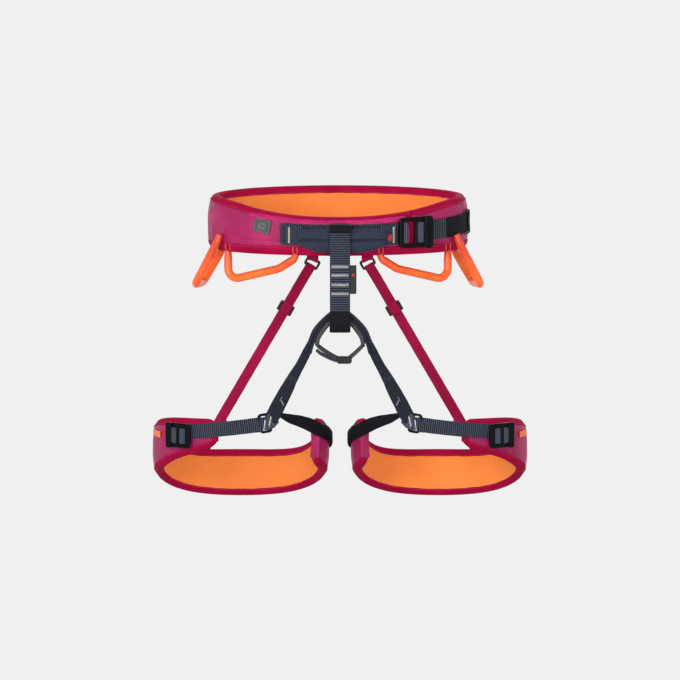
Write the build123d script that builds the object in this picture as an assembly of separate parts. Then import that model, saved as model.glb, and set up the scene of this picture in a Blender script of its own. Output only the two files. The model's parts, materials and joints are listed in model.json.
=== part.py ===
from build123d import *
import os
from math import sqrt, sin, cos, radians

os.makedirs("parts", exist_ok=True)

# ------------------------------------------------------------------
# Climbing harness: padded waist belt, belay loop, two leg loops.
# Frame: +X wearer's left (seen from the front: right), -Y front, +Z up.
# Origin at the centre of the waist belt, at mid-height of its webbing.
# ------------------------------------------------------------------

# waist belt, millimetres
BELT_CX = -2.5                # centre of the belt ellipse
BELT_A, BELT_B = 161.0, 105.0  # outer half width and half depth
PAD_T = 12.0                  # padding, shell to lining
SKIN_T = 1.5                  # outer shell and inner lining
BIND_T = 1.0                  # binding tape
BIND_TOP_H, BIND_BOT_H = 8.5, 11.0
WEB_W, WEB_T = 25.0, 2.0      # structural waist webbing

# belay loop
LOOP_W = 25.0
LOOP_T = 4.5

# leg loops
LEG_CX = 124.0                # centre of each leg loop from the middle
LEG_A, LEG_B = 109.0, 85.0    # outer half width and half depth
LEG_T = 10.0
LEG_SKIN = 1.2
LEG_WEB_W, LEG_WEB_T = 18.5, 2.2
FLAP_END, INNER_END = -155.0, -27.0   # ends of the padding (x), open front

# gear loops
GEAR_R = 5.1

# hinge of the leg loops, the wearer's hip axis
HIP_Y, HIP_Z = 0.0, -100.0

# edge lines (y, z)
BELT_TOP = [(-130, 19), (-105, 19), (-96, 21.3), (-86, 24.4), (-77, 27.2), (-60, 31.5),
            (-37, 34.0), (0, 34.2), (60, 33.5), (105, 32.8), (130, 32.6)]
BELT_BOT = [(-130, -29), (-105, -29), (-60, -30.3), (0, -32.5), (50, -38), (80, -46.5),
            (105, -56), (130, -62)]
LEG_TOP = [(-110, -237.0), (-85, -238), (-60, -239.5), (-35, -243), (0, -252), (20, -264),
           (41, -281), (60, -292), (77, -297.5), (90, -299), (110, -300)]
LEG_BOT = [(-110, -258), (-85, -269), (-74, -280), (-55, -291), (-32, -303), (0, -318),
           (25, -329), (55, -343.5), (70, -350.5), (85, -356.5), (110, -365)]

NODES = {}


def keep(name, shape, color=None):
    solids = shape.solids() if hasattr(shape, "solids") else [shape]
    solids = [s for s in solids if s.volume > 0.5]
    NODES[name] = solids[0] if len(solids) == 1 else Compound(children=solids)


def shifted(line, dz):
    return [(y, z + dz) for y, z in line]


def slab_yz(top, bot, x0, x1):
    """Solid between a lower and an upper line in the side view."""
    t = Spline(*[(x0, y, z) for y, z in top])
    b = Spline(*[(x0, y, z) for y, z in bot])
    f = make_face([t, Line(t @ 1, b @ 1), b, Line(b @ 0, t @ 0)])
    return extrude(f, amount=x1 - x0, dir=(1, 0, 0))


def poly_yz(pts, x0, x1):
    f = make_face(Polyline(*[(x0, y, z) for y, z in pts], close=True))
    return extrude(f, amount=x1 - x0, dir=(1, 0, 0))


def poly_xz(pts, y0, y1):
    f = make_face(Polyline(*[(x, y0, z) for x, z in pts], close=True))
    return extrude(f, amount=y1 - y0, dir=(0, 1, 0))


def poly_xy(pts, z0, z1):
    f = make_face(Polyline(*[(x, y, z0) for x, y in pts], close=True))
    return extrude(f, amount=z1 - z0, dir=(0, 0, 1))


def box(x0, x1, y0, y1, z0, z1):
    return Pos((x0 + x1) / 2, (y0 + y1) / 2, (z0 + z1) / 2) * Box(x1 - x0, y1 - y0, z1 - z0)


def ell_wall(cx, a, b, o_in, o_out, z0, z1):
    f = Pos(cx, 0, z0) * (Ellipse(a + o_out, b + o_out) - Ellipse(a + o_in, b + o_in))
    return extrude(f, amount=z1 - z0, dir=(0, 0, 1))


def belt_wall(o_in, o_out, z0=-80, z1=60):
    return ell_wall(BELT_CX, BELT_A, BELT_B, o_in, o_out, z0, z1)


def leg_wall(o_in, o_out, z0=-380, z1=-220):
    return ell_wall(-LEG_CX, LEG_A, LEG_B, o_in, o_out, z0, z1)


def belt_pt(x, o):
    return (x, -(BELT_B + o) * sqrt(1 - ((x - BELT_CX) / (BELT_A + o)) ** 2))


def leg_pt(x, o):
    return (x, -(LEG_B + o) * sqrt(max(0.0, 1 - ((x + LEG_CX) / (LEG_A + o)) ** 2)))


def ribbon_xy(pts, t, z0, z1):
    """Upright ribbon of thickness t along a plan-view line."""
    n = len(pts)
    left, right = [], []
    for i, (x, y) in enumerate(pts):
        nx = ny = 0.0
        for a, b in ((i - 1, i), (i, i + 1)):
            if a >= 0 and b < n:
                dx, dy = pts[b][0] - pts[a][0], pts[b][1] - pts[a][1]
                d = sqrt(dx * dx + dy * dy)
                nx, ny = nx - dy / d, ny + dx / d
        d = sqrt(nx * nx + ny * ny)
        nx, ny = nx / d * t / 2, ny / d * t / 2
        left.append((x + nx, y + ny))
        right.append((x - nx, y - ny))
    return poly_xy(left + right[::-1], z0, z1)


def bar(p0, p1, across, width, thick):
    """Flat strap from p0 to p1; its width lies along 'across'."""
    p0, p1 = Vector(*p0), Vector(*p1)
    d = (p1 - p0)
    length = d.length
    d = d.normalized()
    w = Vector(*across)
    w = (w - d * w.dot(d)).normalized()
    pl = Plane(origin=(p0 + p1) * 0.5, x_dir=w, z_dir=d)
    return pl * Box(width, thick, length)


def mirrored(shape, cx=0.0):
    return mirror(shape, about=Plane.YZ.offset(cx))


def tube(points, radii, r):
    path = FilletPolyline(*points, radius=radii)
    start = Plane(origin=path @ 0, z_dir=path % 0)
    return sweep(start * Circle(r), path=path)


# ------------------------------------------------------------------ waist belt
belt_zone = slab_yz(shifted(BELT_TOP, -1.3), shifted(BELT_BOT, 1.3), -190, 190)
keep("waist_outer_shell", belt_wall(-SKIN_T, 0) & belt_zone)
keep("waist_foam_core", belt_wall(-PAD_T + SKIN_T + 0.1, -SKIN_T - 0.1) & belt_zone)
keep("waist_inner_lining", belt_wall(-PAD_T, -PAD_T + SKIN_T) & belt_zone)

top_zone = slab_yz(BELT_TOP, shifted(BELT_TOP, -BIND_TOP_H), -190, 190)
bot_zone = slab_yz(shifted(BELT_BOT, BIND_BOT_H), BELT_BOT, -190, 190)
u_out = belt_wall(-PAD_T - BIND_T, BIND_T)
u_in = belt_wall(-PAD_T - 0.1, 0.1)
fill_zone = slab_yz(shifted(BELT_TOP, -1.2), shifted(BELT_BOT, 1.2), -195, 195)
u_fill = u_in & fill_zone
keep("waist_top_binding", (u_out & top_zone) - u_fill)
keep("waist_bottom_binding", (u_out & bot_zone) - u_fill)

# structural webbing across the front and its tail beyond the buckle
web_band = poly_yz([(-130, -15.5), (-20, -9.5), (0, -8.5), (0, 16.5), (-20, 15.5), (-130, 9.5)], -190, 190)
web_ring = belt_wall(1.2, 1.2 + WEB_T) & web_band
keep("waist_webbing", web_ring & box(-71, 74, -130, 0, -40, 40))
keep("waist_tail_webbing", web_ring & box(96, 175, -130, -4, -40, 40))
keeper_band = poly_yz([(-30, -13), (-8, -11.5), (-8, 19.5), (-30, 18)], 100, 190)
keep("waist_tail_keeper", (belt_wall(3.4, 4.6) & keeper_band & box(100, 190, -22, -12, -40, 40)))

# generic square label on the shell
keep("waist_label", belt_wall(1.1, 1.9) &
     poly_xz([(-104.6, 17.6), (-84.6, 12.6), (-88.0, -4.4), (-109.1, 0.7)], -130, 0))

# tie-in point: two sewn ends on the belt, a padded sleeve between them
TIE_Z = (-15.0, 10.0)
left_stub = ribbon_xy([belt_pt(-71, 4.6), belt_pt(-66, 4.6), belt_pt(-60, 4.6), belt_pt(-54.5, 8.2)], 2.0, *TIE_Z)
right_stub = ribbon_xy([belt_pt(72, 4.6), belt_pt(67, 4.6), belt_pt(63, 4.6), belt_pt(58.5, 8.2)], 2.0, *TIE_Z)
keep("tie_in_webbing_ends", Compound(children=[left_stub.solid(), right_stub.solid()]))
tack_l = ribbon_xy([belt_pt(-63, 6.1), belt_pt(-60.2, 6.1)], 0.6, -12.5, 7.0)
tack_r = ribbon_xy([belt_pt(63.5, 6.1), belt_pt(66.3, 6.1)], 0.6, -12.5, 7.0)
keep("tie_in_bartacks", Compound(children=[tack_l.solid(), tack_r.solid()]))

core_line = [belt_pt(-52.5, 12.0), belt_pt(-44, 15.4), belt_pt(-30, 16.0), belt_pt(-15, 16.0), belt_pt(0, 16.0),
             belt_pt(15, 16.0), belt_pt(33, 16.0), belt_pt(48, 15.4), belt_pt(56.5, 12.0)]
keep("tie_in_webbing_core", ribbon_xy(core_line, 2.0, -14.0, 4.0))
sleeve_front = poly_xz([(-50, 6.3), (-30, 7.4), (2, 7.8), (35, 7.4), (55, 6.3), (55, -12), (46, -17),
                        (30, -21.5), (2, -23.8), (-26, -21.5), (-41, -17), (-50, -12)], -150, -60)
keep("tie_in_sleeve", (belt_wall(10.8, 21.0) & sleeve_front) - ribbon_xy(core_line, 2.5, -14.3, 4.3))

# ------------------------------------------------------------------ belay loop
FRONT = -126.7          # inner face of the front layer
outer = make_face(Polyline((-12.5, FRONT - LOOP_T, 12.6), (-12.5, -108.7, 12.6), (-12.5, -108.7, -30),
                           (-12.5, -103.4, -100), (-12.5, -103.4, -121.2), (-12.5, FRONT - LOOP_T, -121.2), close=True))
inner = make_face(Polyline((-12.5, FRONT, 8.1), (-12.5, -113.2, 8.1), (-12.5, -113.2, -32),
                           (-12.5, -107.9, -100), (-12.5, -107.9, -116.7), (-12.5, FRONT, -116.7), close=True))
loop = extrude(outer, amount=LOOP_W, dir=(1, 0, 0)) - extrude(inner, amount=LOOP_W, dir=(1, 0, 0))


def along_x(solid, ylo, yhi, zlo, zhi):
    picked = []
    for e in solid.edges().filter_by(Axis.X):
        c = e.center()
        if ylo <= c.Y <= yhi and zlo <= c.Z <= zhi:
            picked.append(e)
    return picked


outer_corners = [e for e in along_x(loop, -140, -90, -130, 20)
                 if (e.center().Z > 12 or e.center().Z < -120)]
loop = fillet(outer_corners, 5.0)
inner_corners = [e for e in along_x(loop, -127, -107, -117, 9)
                 if (e.center().Z > 8.0 or e.center().Z < -116.5) and abs(e.length - LOOP_W) < 0.1]
loop = fillet(inner_corners, 1.2)
keep("belay_loop", loop)
tacks = [box(-10, 10, FRONT - LOOP_T - 0.9, FRONT - LOOP_T - 0.1, z - 1.3, z + 1.3)
         for z in (-38.6, -49.4, -61.4, -72.7)]
keep("belay_bartacks", Compound(children=[t.solid() for t in tacks]))
keep("belay_label", box(12.7, 20.0, -129.6, -128.4, -73, -37))

# ------------------------------------------------------------------ lower tie-in arch
ARCH_Y = (-125.2, -109.4)
ARCH_OUT = [(0, -93.0), (11.75, -97.6), (23, -107), (34, -120.1), (39.3, -133), (45.2, -145.0)]
ARCH_MID = [(0, -101.5), (10.5, -105.0), (20.5, -114.0), (28.6, -125.5), (31.8, -136), (35.5, -149.5)]
ARCH_IN = [(0, -110.0), (11.25, -113.2), (19.6, -122.8), (24.6, -131), (26.2, -139.5)]


def arch_face(upper, lower, y):
    r_up = [(x, z) for x, z in upper]
    l_up = [(-x, z) for x, z in upper[::-1]]
    r_lo = [(x, z) for x, z in lower]
    l_lo = [(-x, z) for x, z in lower[::-1]]
    top = Spline(*[(x, y, z) for x, z in l_up[:-1] + r_up])
    bot = Spline(*[(x, y, z) for x, z in l_lo[:-1] + r_lo])
    return make_face([top, Line(top @ 1, bot @ 1), bot, Line(bot @ 0, top @ 0)])


keep("lower_tie_in_arch", extrude(arch_face(ARCH_OUT, ARCH_MID, ARCH_Y[0]), amount=ARCH_Y[1] - ARCH_Y[0], dir=(0, 1, 0)))
prot_up = [(0, -101.7), (10.4, -105.2), (20.3, -114.2), (28.4, -125.7), (31.0, -134.5)]
keep("arch_protector", extrude(arch_face(prot_up, ARCH_IN, ARCH_Y[0]), amount=ARCH_Y[1] - ARCH_Y[0], dir=(0, 1, 0)))
# thin strap that closes the arch, with its small slider
bridge = [(-24.5, -141.5), (-12, -150.0), (2, -157.5), (5, -157.5), (14, -151), (24.5, -141.5),
          (25.5, -144.5), (15.5, -154), (6, -160.5), (1, -160.5), (-13, -153), (-25.5, -144.5)]
bridge_body = poly_xz(bridge, -121.3, -113.3)
slider_outer = box(-3.5, 14.0, -123.6, -111.0, -162.6, -151.8)
slider_hole = poly_xz([(x, z) for x, z in bridge], -121.7, -112.9)
slider_slot = box(-6, 17, -121.7, -112.9, -160.9, -153.2)
keep("bridge_slider", slider_outer - slider_slot)
keep("bridge_strap", bridge_body & box(-30, 30, -125, -105, -160.8, -130) - (slider_outer - slider_slot))

# ------------------------------------------------------------------ front straps (fixed part), risers
FS_TOP, FS_END = (-44.6, -119.0, -148.6), (-77.9, -98.7, -216.8)


def left_right(name, shape, cx=0.0):
    keep(name + "_left", shape)
    keep(name + "_right", mirrored(shape, cx))


def both(name, shape, cx=0.0):
    """Both mirrored pieces in one node."""
    keep(name, Compound(children=[shape.solids()[0], mirrored(shape, cx).solids()[0]]))


left_right("front_strap", bar(FS_TOP, FS_END, (1, 0, -0.49), 16.5, 4.0))

# rear risers: elastic straps from the back of the belt to the leg loops
R0 = (-34.7, 101.6, -65.4)
RD = Vector(-0.505, -0.071, -0.860).normalized()
RW = 13.0


def on_riser(t):
    p = Vector(*R0) + RD * t
    return (p.X, p.Y, p.Z)


across = Vector(0.860, 0, -0.505).normalized()
rn = RD.cross(across).normalized()
pl = Plane(origin=R0, x_dir=across, z_dir=rn)
ring = pl * (extrude(RectangleRounded(19.0, 12.6, 2.5), amount=1.3, both=True)
             - extrude(RectangleRounded(13.6, 7.2, 1.2), amount=3, both=True))
both("riser_rings", ring)
tab = bar((-34.0, 102.4, -50.5), (-34.7, 102.4, -59.2), (1, 0, 0), 15.0, 2.2)
tab = tab - (belt_wall(-14.5, 1.3) & slab_yz(shifted(BELT_TOP, 0.3), shifted(BELT_BOT, -0.3), -190, 190)) - ring
both("riser_tabs", tab)
RISER_LEN = 215.5
both("riser_straps", bar(on_riser(4.3), on_riser(RISER_LEN), (0.860, 0, -0.505), RW, 2.0) - ring)
s_at = 66.0
spl = Plane(origin=on_riser(s_at), x_dir=across, z_dir=RD)
sl = spl * (Box(19.6, 7.0, 13.5) - Box(RW + 1.0, 3.0, 20))
left_right("riser_slider", sl)

# ------------------------------------------------------------------ waist buckle
BX = 93.0
bp = belt_pt(BX, 3.6)
nx, ny = (BX - BELT_CX) / BELT_A ** 2, bp[1] / BELT_B ** 2
nl = sqrt(nx * nx + ny * ny)
BN = (nx / nl, ny / nl, 0)
BT = (-BN[1], BN[0], 0)
bpl = Plane(origin=(bp[0] + BN[0] * 0.5, bp[1] + BN[1] * 0.5, -0.8), x_dir=BT, z_dir=BN)
frame2 = RectangleRounded(46, 39, 6)
body = extrude(frame2, amount=5.0)
body -= Pos(-9.7, 0, 0) * extrude(RectangleRounded(15.2, 28, 2), amount=20, both=True)
body -= Pos(5.5, 0, 0) * extrude(RectangleRounded(7.2, 28, 2), amount=20, both=True)
keep("waist_buckle_frame", bpl * body)
press_bar = Pos(15.6, 0, 5.1) * extrude(RectangleRounded(11.0, 40, 3), amount=3.2)
keep("waist_buckle_bar", bpl * press_bar)
BUCKLE_AXIS = bpl * Pos(-23.0, 0, 0)

# ------------------------------------------------------------------ gear loops, left side
gf = [(-139.4, -44.5, -36.0), (-139.4, -52.0, -66.5), (-76.0, -86.5, -47.2), (-57.5, -93.5, -34.5)]
gr = [(-152.5, -50.6, -15.0), (-180.5, -32.0, -74.0), (-171.5, 22.0, -79.0), (-148.6, 46.0, -43.0)]
gf_t = tube(gf, [13.0, 24.0], GEAR_R)
gr_t = tube(gr, [11.0, 13.0], GEAR_R)
belt_room = belt_wall(-16, 1.5) & slab_yz(shifted(BELT_TOP, 2), shifted(BELT_BOT, -2.6), -195, 195)
left_right("gear_loop_front", gf_t - belt_room, BELT_CX)
left_right("gear_loop_rear", gr_t - belt_room, BELT_CX)

# ------------------------------------------------------------------ haul loop, rear centre
hl = [(-13 + BELT_CX, 111.2, -12.0), (-13 + BELT_CX, 112.6, -46.0), (13 + BELT_CX, 112.6, -46.0), (13 + BELT_CX, 111.2, -12.0)]
keep("haul_loop", tube(hl, [9.0, 9.0], 3.0))
keep("haul_loop_anchor", belt_wall(1.2, 3.2) & box(-20 + BELT_CX, 20 + BELT_CX, 90, 130, -8.6, 6))

# ------------------------------------------------------------------ leg loop, left
leg_room = box(FLAP_END, INNER_END, -120, -0.5, -400, -200)
leg_zone = slab_yz(shifted(LEG_TOP, -1.1), shifted(LEG_BOT, 1.1), -240, -8) - leg_room
left_right("leg_outer_shell", leg_wall(-LEG_SKIN, 0) & leg_zone)
left_right("leg_foam_core", leg_wall(-LEG_T + LEG_SKIN + 0.1, -LEG_SKIN - 0.1) & leg_zone)
left_right("leg_inner_lining", leg_wall(-LEG_T, -LEG_T + LEG_SKIN) & leg_zone)
lu = leg_wall(-LEG_T - BIND_T, BIND_T) - leg_room
lfill = leg_wall(-LEG_T - 0.1, 0.1) & slab_yz(shifted(LEG_TOP, -1.0), shifted(LEG_BOT, 1.0), -245, -5)
left_right("leg_top_binding", (lu & slab_yz(LEG_TOP, shifted(LEG_TOP, -8.0), -245, -5)) - lfill)
left_right("leg_bottom_binding", (lu & slab_yz(shifted(LEG_BOT, 8.5), LEG_BOT, -245, -5)) - lfill)

# adjusting webbing from the buckle to the ring
lw_line = [leg_pt(-209, 2.6), leg_pt(-203, 2.6), leg_pt(-196, 2.6), leg_pt(-188, 2.7), (-179, leg_pt(-179, 3.4)[1]),
           (-168, leg_pt(-168, 4.4)[1]), (-152, -87.6), (-136, -90.6), (-119, -92.0), (-102.4, -92.6)]
lw_sil = poly_xz([(-215, -265.6), (-186, -262.7), (-99.0, -252.0), (-99.0, -233.3), (-186, -244.1), (-215, -247.0)], -130, -20)
leg_web = ribbon_xy(lw_line, LEG_WEB_T, -290, -210) & lw_sil

# rectangular ring between the adjusting webbing and the front strap
rpl = Plane(origin=(-93.6, -93.0, -240.6), x_dir=(0.982, 0, 0.18), z_dir=(0, -1, 0))
lring = rpl * (extrude(RectangleRounded(15.5, 24.5, 4.0), amount=1.4, both=True)
               - extrude(RectangleRounded(9.5, 18.5, 1.8), amount=4, both=True))
left_right("leg_ring", lring)
left_right("leg_webbing", leg_web - lring)
# short webbing end from the ring up to the junction with the front strap
left_right("leg_junction", bar((-85.2, -94.4, -236.5), (-78.2, -97.0, -224.6), (1, 0, -0.49), LEG_WEB_W, 4.0) - lring)

# inner strap from the junction, folded round the inner end of the leg loop
in_line = [(-71.0, -92.0), (-60, -83.5), (-46, -69.5), (-34, -54.5), leg_pt(-25.5, 2.9), leg_pt(-20, 2.7),
           leg_pt(-16.5, 2.6), leg_pt(-14.2, 2.6)]


# its outline seen from the front (x, z)
in_sil = [(-73.125, -231.687), (-67.5, -235.096), (-27.5, -245.576), (-17.5, -251.258), (-8.75, -261.359),
          (-8.75, -289.136), (-22.5, -289.136), (-28.125, -266.409), (-46.25, -257.571), (-66.25, -247.470),
          (-73.125, -242.419)]
left_right("leg_inner_strap", ribbon_xy(in_line, 2.2, -300, -200) & poly_xz(in_sil, -130, 20))

# sewn riser tab on the rear of the leg loop
rt_line = [(x, -leg_pt(x, 2.3)[1]) for x in (-190, -183, -176, -168, -160, -152, -145, -139)]
rt = ribbon_xy(rt_line, 2.0, -330, -200) & poly_xz([(-142.4, -259.5), (-156.4, -263.5), (-186.0, -314), (-174.4, -314)], 40, 130)
left_right("leg_riser_tab", rt)

# leg buckle
LX = -200.0
lp = leg_pt(LX, 4.3)
nx, ny = (LX + LEG_CX) / LEG_A ** 2, lp[1] / LEG_B ** 2
nl = sqrt(nx * nx + ny * ny)
LN = (nx / nl, ny / nl, 0)
LT = (-LN[1], LN[0], 0)
lbl = Plane(origin=(lp[0], lp[1], -259.6), x_dir=LT, z_dir=LN)
lb = extrude(RectangleRounded(35, 31, 4.5), amount=4.0)
lb -= Pos(-6.4, 0, 0) * extrude(RectangleRounded(7.5, 21.5, 1.8), amount=20, both=True)
lb -= Pos(6.6, 0, 0) * extrude(RectangleRounded(7.5, 21.5, 1.8), amount=20, both=True)
left_right("leg_buckle_frame", lbl * lb)
left_right("leg_buckle_bar", lbl * (Pos(-13.2, 0, 4.1) * extrude(RectangleRounded(8.5, 32, 2.5), amount=2.6)))

for name, shape in NODES.items():
    export_step(shape, "parts/" + name + ".step")

print(len(NODES), "nodes")
print("waist buckle plane", bpl.origin, bpl.x_dir, bpl.z_dir)
print("leg buckle plane", lbl.origin, lbl.x_dir, lbl.z_dir)
print("slider at", on_riser(s_at), "dir", RD)
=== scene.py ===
import bpy, bmesh, json, math
import numpy as np
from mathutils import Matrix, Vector

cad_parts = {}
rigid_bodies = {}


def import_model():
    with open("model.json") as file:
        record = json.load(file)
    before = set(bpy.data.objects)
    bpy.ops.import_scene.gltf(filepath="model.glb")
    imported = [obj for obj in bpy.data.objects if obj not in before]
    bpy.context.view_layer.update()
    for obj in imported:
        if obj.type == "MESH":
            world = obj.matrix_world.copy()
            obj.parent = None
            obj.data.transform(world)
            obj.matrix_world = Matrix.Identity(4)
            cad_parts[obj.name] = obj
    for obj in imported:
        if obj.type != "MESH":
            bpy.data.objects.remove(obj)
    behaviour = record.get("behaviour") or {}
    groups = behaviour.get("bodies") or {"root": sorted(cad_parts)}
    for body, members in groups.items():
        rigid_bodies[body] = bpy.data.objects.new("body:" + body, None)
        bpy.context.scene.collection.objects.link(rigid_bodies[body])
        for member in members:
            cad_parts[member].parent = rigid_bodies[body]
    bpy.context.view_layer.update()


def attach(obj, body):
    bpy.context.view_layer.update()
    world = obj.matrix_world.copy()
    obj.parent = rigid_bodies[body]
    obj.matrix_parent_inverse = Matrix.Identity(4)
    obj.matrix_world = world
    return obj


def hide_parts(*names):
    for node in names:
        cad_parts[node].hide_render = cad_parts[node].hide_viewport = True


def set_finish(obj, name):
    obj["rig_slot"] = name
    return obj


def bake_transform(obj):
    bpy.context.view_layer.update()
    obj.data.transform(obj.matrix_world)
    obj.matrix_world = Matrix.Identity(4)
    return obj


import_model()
MM = 0.001
PI = math.pi

# ------------------------------------------------------------------ camera, stage, light
scene = bpy.context.scene
scene.view_settings.view_transform = "Standard"
scene.view_settings.look = "None"
scene.view_settings.exposure = 0.0
ELEV = math.radians(8.0)
target = Vector((0.0, 0.0, -0.149))
cam_data = bpy.data.cameras.new("camera")
cam = bpy.data.objects.new("camera", cam_data)
scene.collection.objects.link(cam)
DIST = 25.0
cam_data.sensor_width = 36.0
cam_data.lens = 36.0 * DIST / 0.850
cam.location = target + Vector((0, -math.cos(ELEV), math.sin(ELEV))) * DIST
cam.rotation_mode = "QUATERNION"
cam.rotation_quaternion = (target - cam.location).to_track_quat("-Z", "Y")
cam_data.clip_end = 500
scene.camera = cam


def area(name, loc, size, energy, aim=(0, 0, -0.15), col=(1, 1, 1)):
    d = bpy.data.lights.new(name, "AREA")
    d.shape = "SQUARE"
    d.size = size
    d.energy = energy
    d.color = col
    o = bpy.data.objects.new(name, d)
    scene.collection.objects.link(o)
    o.location = loc
    o.rotation_mode = "QUATERNION"
    o.rotation_quaternion = (Vector(aim) - Vector(loc)).to_track_quat("-Z", "Y")
    return o


area("key", (-1.2, -2.3, 0.75), 1.2, 40)
area("fill", (0.8, -2.6, -0.3), 1.6, 24)
area("top", (0.3, -0.2, 2.2), 1.2, 12)
area("back", (0.5, 2.5, 0.9), 1.6, 20)

world = bpy.data.worlds.new("studio")
scene.world = world
world.use_nodes = True
wn = world.node_tree
wn.nodes.clear()
w_out = wn.nodes.new("ShaderNodeOutputWorld")
w_bg = wn.nodes.new("ShaderNodeBackground")
w_tc = wn.nodes.new("ShaderNodeTexCoord")
w_sep = wn.nodes.new("ShaderNodeSeparateXYZ")
w_ramp = wn.nodes.new("ShaderNodeValToRGB")
el = w_ramp.color_ramp.elements
el[0].position, el[0].color = 0.0, (0.871, 0.871, 0.875, 1)
el[1].position, el[1].color = 1.0, (0.22, 0.22, 0.23, 1)
for pos, c in ((0.34, 0.86), (0.60, 0.42)):
    q = el.new(pos)
    q.color = (c, c, c, 1)
wn.links.new(w_tc.outputs["Generated"], w_sep.inputs[0])
wn.links.new(w_sep.outputs["Z"], w_ramp.inputs[0])
wn.links.new(w_ramp.outputs[0], w_bg.inputs[0])
w_bg.inputs[1].default_value = 1.0
wn.links.new(w_bg.outputs[0], w_out.inputs[0])


# ------------------------------------------------------------------ materials
class Mat:
    def __init__(self, name):
        self.m = bpy.data.materials.new(name)
        self.m.use_nodes = True
        self.t = self.m.node_tree
        self.t.nodes.clear()
        self.out = self.n("ShaderNodeOutputMaterial")
        self.p = self.n("ShaderNodeBsdfPrincipled")
        self.link(self.p.outputs[0], self.out.inputs[0])
        self.tc = self.n("ShaderNodeTexCoord")

    def n(self, kind, **kw):
        node = self.t.nodes.new(kind)
        for k, v in kw.items():
            setattr(node, k, v)
        return node

    def link(self, a, b):
        self.t.links.new(a, b)

    def set(self, **kw):
        for k, v in kw.items():
            s = self.p.inputs[k.replace("_", " ")]
            s.default_value = v
        return self

    def mapping(self, coord, scale, rot=(0, 0, 0)):
        m = self.n("ShaderNodeMapping")
        m.inputs["Scale"].default_value = scale
        m.inputs["Rotation"].default_value = rot
        self.link(self.tc.outputs[coord], m.inputs["Vector"])
        return m.outputs[0]

    def noise(self, coord, scale, detail=3.0, rough=0.55, dist=0.0, stretch=(1, 1, 1)):
        x = self.n("ShaderNodeTexNoise")
        x.inputs["Scale"].default_value = scale
        x.inputs["Detail"].default_value = detail
        x.inputs["Roughness"].default_value = rough
        x.inputs["Distortion"].default_value = dist
        self.link(self.mapping(coord, stretch), x.inputs["Vector"])
        return x.outputs["Fac"]

    def wave(self, coord, period, axis="X", dist=0.0, rot=(0, 0, 0), phase=0.0):
        x = self.n("ShaderNodeTexWave", wave_type="BANDS", bands_direction=axis, wave_profile="SIN")
        x.inputs["Scale"].default_value = 0.31416 / period
        x.inputs["Distortion"].default_value = dist
        x.inputs["Phase Offset"].default_value = phase
        x.inputs["Detail"].default_value = 1.0
        self.link(self.mapping(coord, (1, 1, 1), rot), x.inputs["Vector"])
        return x.outputs["Fac"]

    def math(self, op, a, b=0.5):
        x = self.n("ShaderNodeMath", operation=op)
        for i, v in enumerate((a, b)):
            if isinstance(v, (int, float)):
                x.inputs[i].default_value = v
            else:
                self.link(v, x.inputs[i])
        return x.outputs[0]

    def ramp(self, fac, stops):
        r = self.n("ShaderNodeValToRGB")
        el = r.color_ramp.elements
        el[0].position, el[0].color = stops[0][0], (*stops[0][1], 1)
        el[1].position, el[1].color = stops[-1][0], (*stops[-1][1], 1)
        for p, c in stops[1:-1]:
            q = el.new(p)
            q.color = (*c, 1)
        self.link(fac, r.inputs[0])
        return r.outputs[0]

    def mix(self, fac, a, b, kind="MIX"):
        x = self.n("ShaderNodeMix", data_type="RGBA", blend_type=kind)
        if isinstance(fac, (int, float)):
            x.inputs[0].default_value = fac
        else:
            self.link(fac, x.inputs[0])
        for i, v in ((6, a), (7, b)):
            if isinstance(v, tuple):
                x.inputs[i].default_value = (*v, 1)
            else:
                self.link(v, x.inputs[i])
        return x.outputs[2]

    def bump(self, height, strength, distance=0.0004, normal=None):
        b = self.n("ShaderNodeBump")
        b.inputs["Strength"].default_value = strength
        b.inputs["Distance"].default_value = distance
        self.link(height, b.inputs["Height"])
        if normal is not None:
            self.link(normal, b.inputs["Normal"])
        return b.outputs[0]

    def colour(self, c):
        self.link(c, self.p.inputs["Base Color"])
        return self

    def normal(self, n):
        self.link(n, self.p.inputs["Normal"])
        return self

    def rough(self, fac, lo, hi):
        r = self.n("ShaderNodeMapRange")
        r.inputs["To Min"].default_value = lo
        r.inputs["To Max"].default_value = hi
        self.link(fac, r.inputs["Value"])
        self.link(r.outputs[0], self.p.inputs["Roughness"])
        return self


def shell_material(name="shell_fabric", k=1.0):
    m = Mat(name)
    big = m.noise("Object", 26, 4, 0.6, 0.6)
    fine = m.noise("Object", 420, 2, 0.5, stretch=(1, 1, 2.5))
    c = m.ramp(big, [(0.25, (0.235 * k, 0.0042, 0.056 * k)), (0.5, (0.340 * k, 0.0070, 0.086 * k)), (0.75, (0.470 * k, 0.0160, 0.126 * k))])
    c = m.mix(0.22, c, m.ramp(fine, [(0.3, (0.18 * k, 0.004, 0.045 * k)), (0.7, (0.50 * k, 0.026, 0.155 * k))]))
    wu, wv = m.wave("UV", 0.0009, "X"), m.wave("UV", 0.0011, "Y")
    weave = m.math("MULTIPLY", wu, wv)
    c = m.mix(0.16, c, m.ramp(weave, [(0.0, (0.15 * k, 0.003, 0.035 * k)), (0.6, (0.50 * k, 0.022, 0.145 * k))]))
    m.colour(c)
    n1 = m.bump(m.noise("Object", 95, 4, 0.6, 1.2, stretch=(1, 1, 1.6)), 0.32, 0.0016)
    m.normal(m.bump(weave, 0.28, 0.0002, n1))
    m.set(Sheen_Weight=0.06, Sheen_Roughness=0.35, Sheen_Tint=(1.0, 0.45, 0.65, 1), Specular_IOR_Level=0.22)
    return m.rough(big, 0.36, 0.52).m


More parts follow.
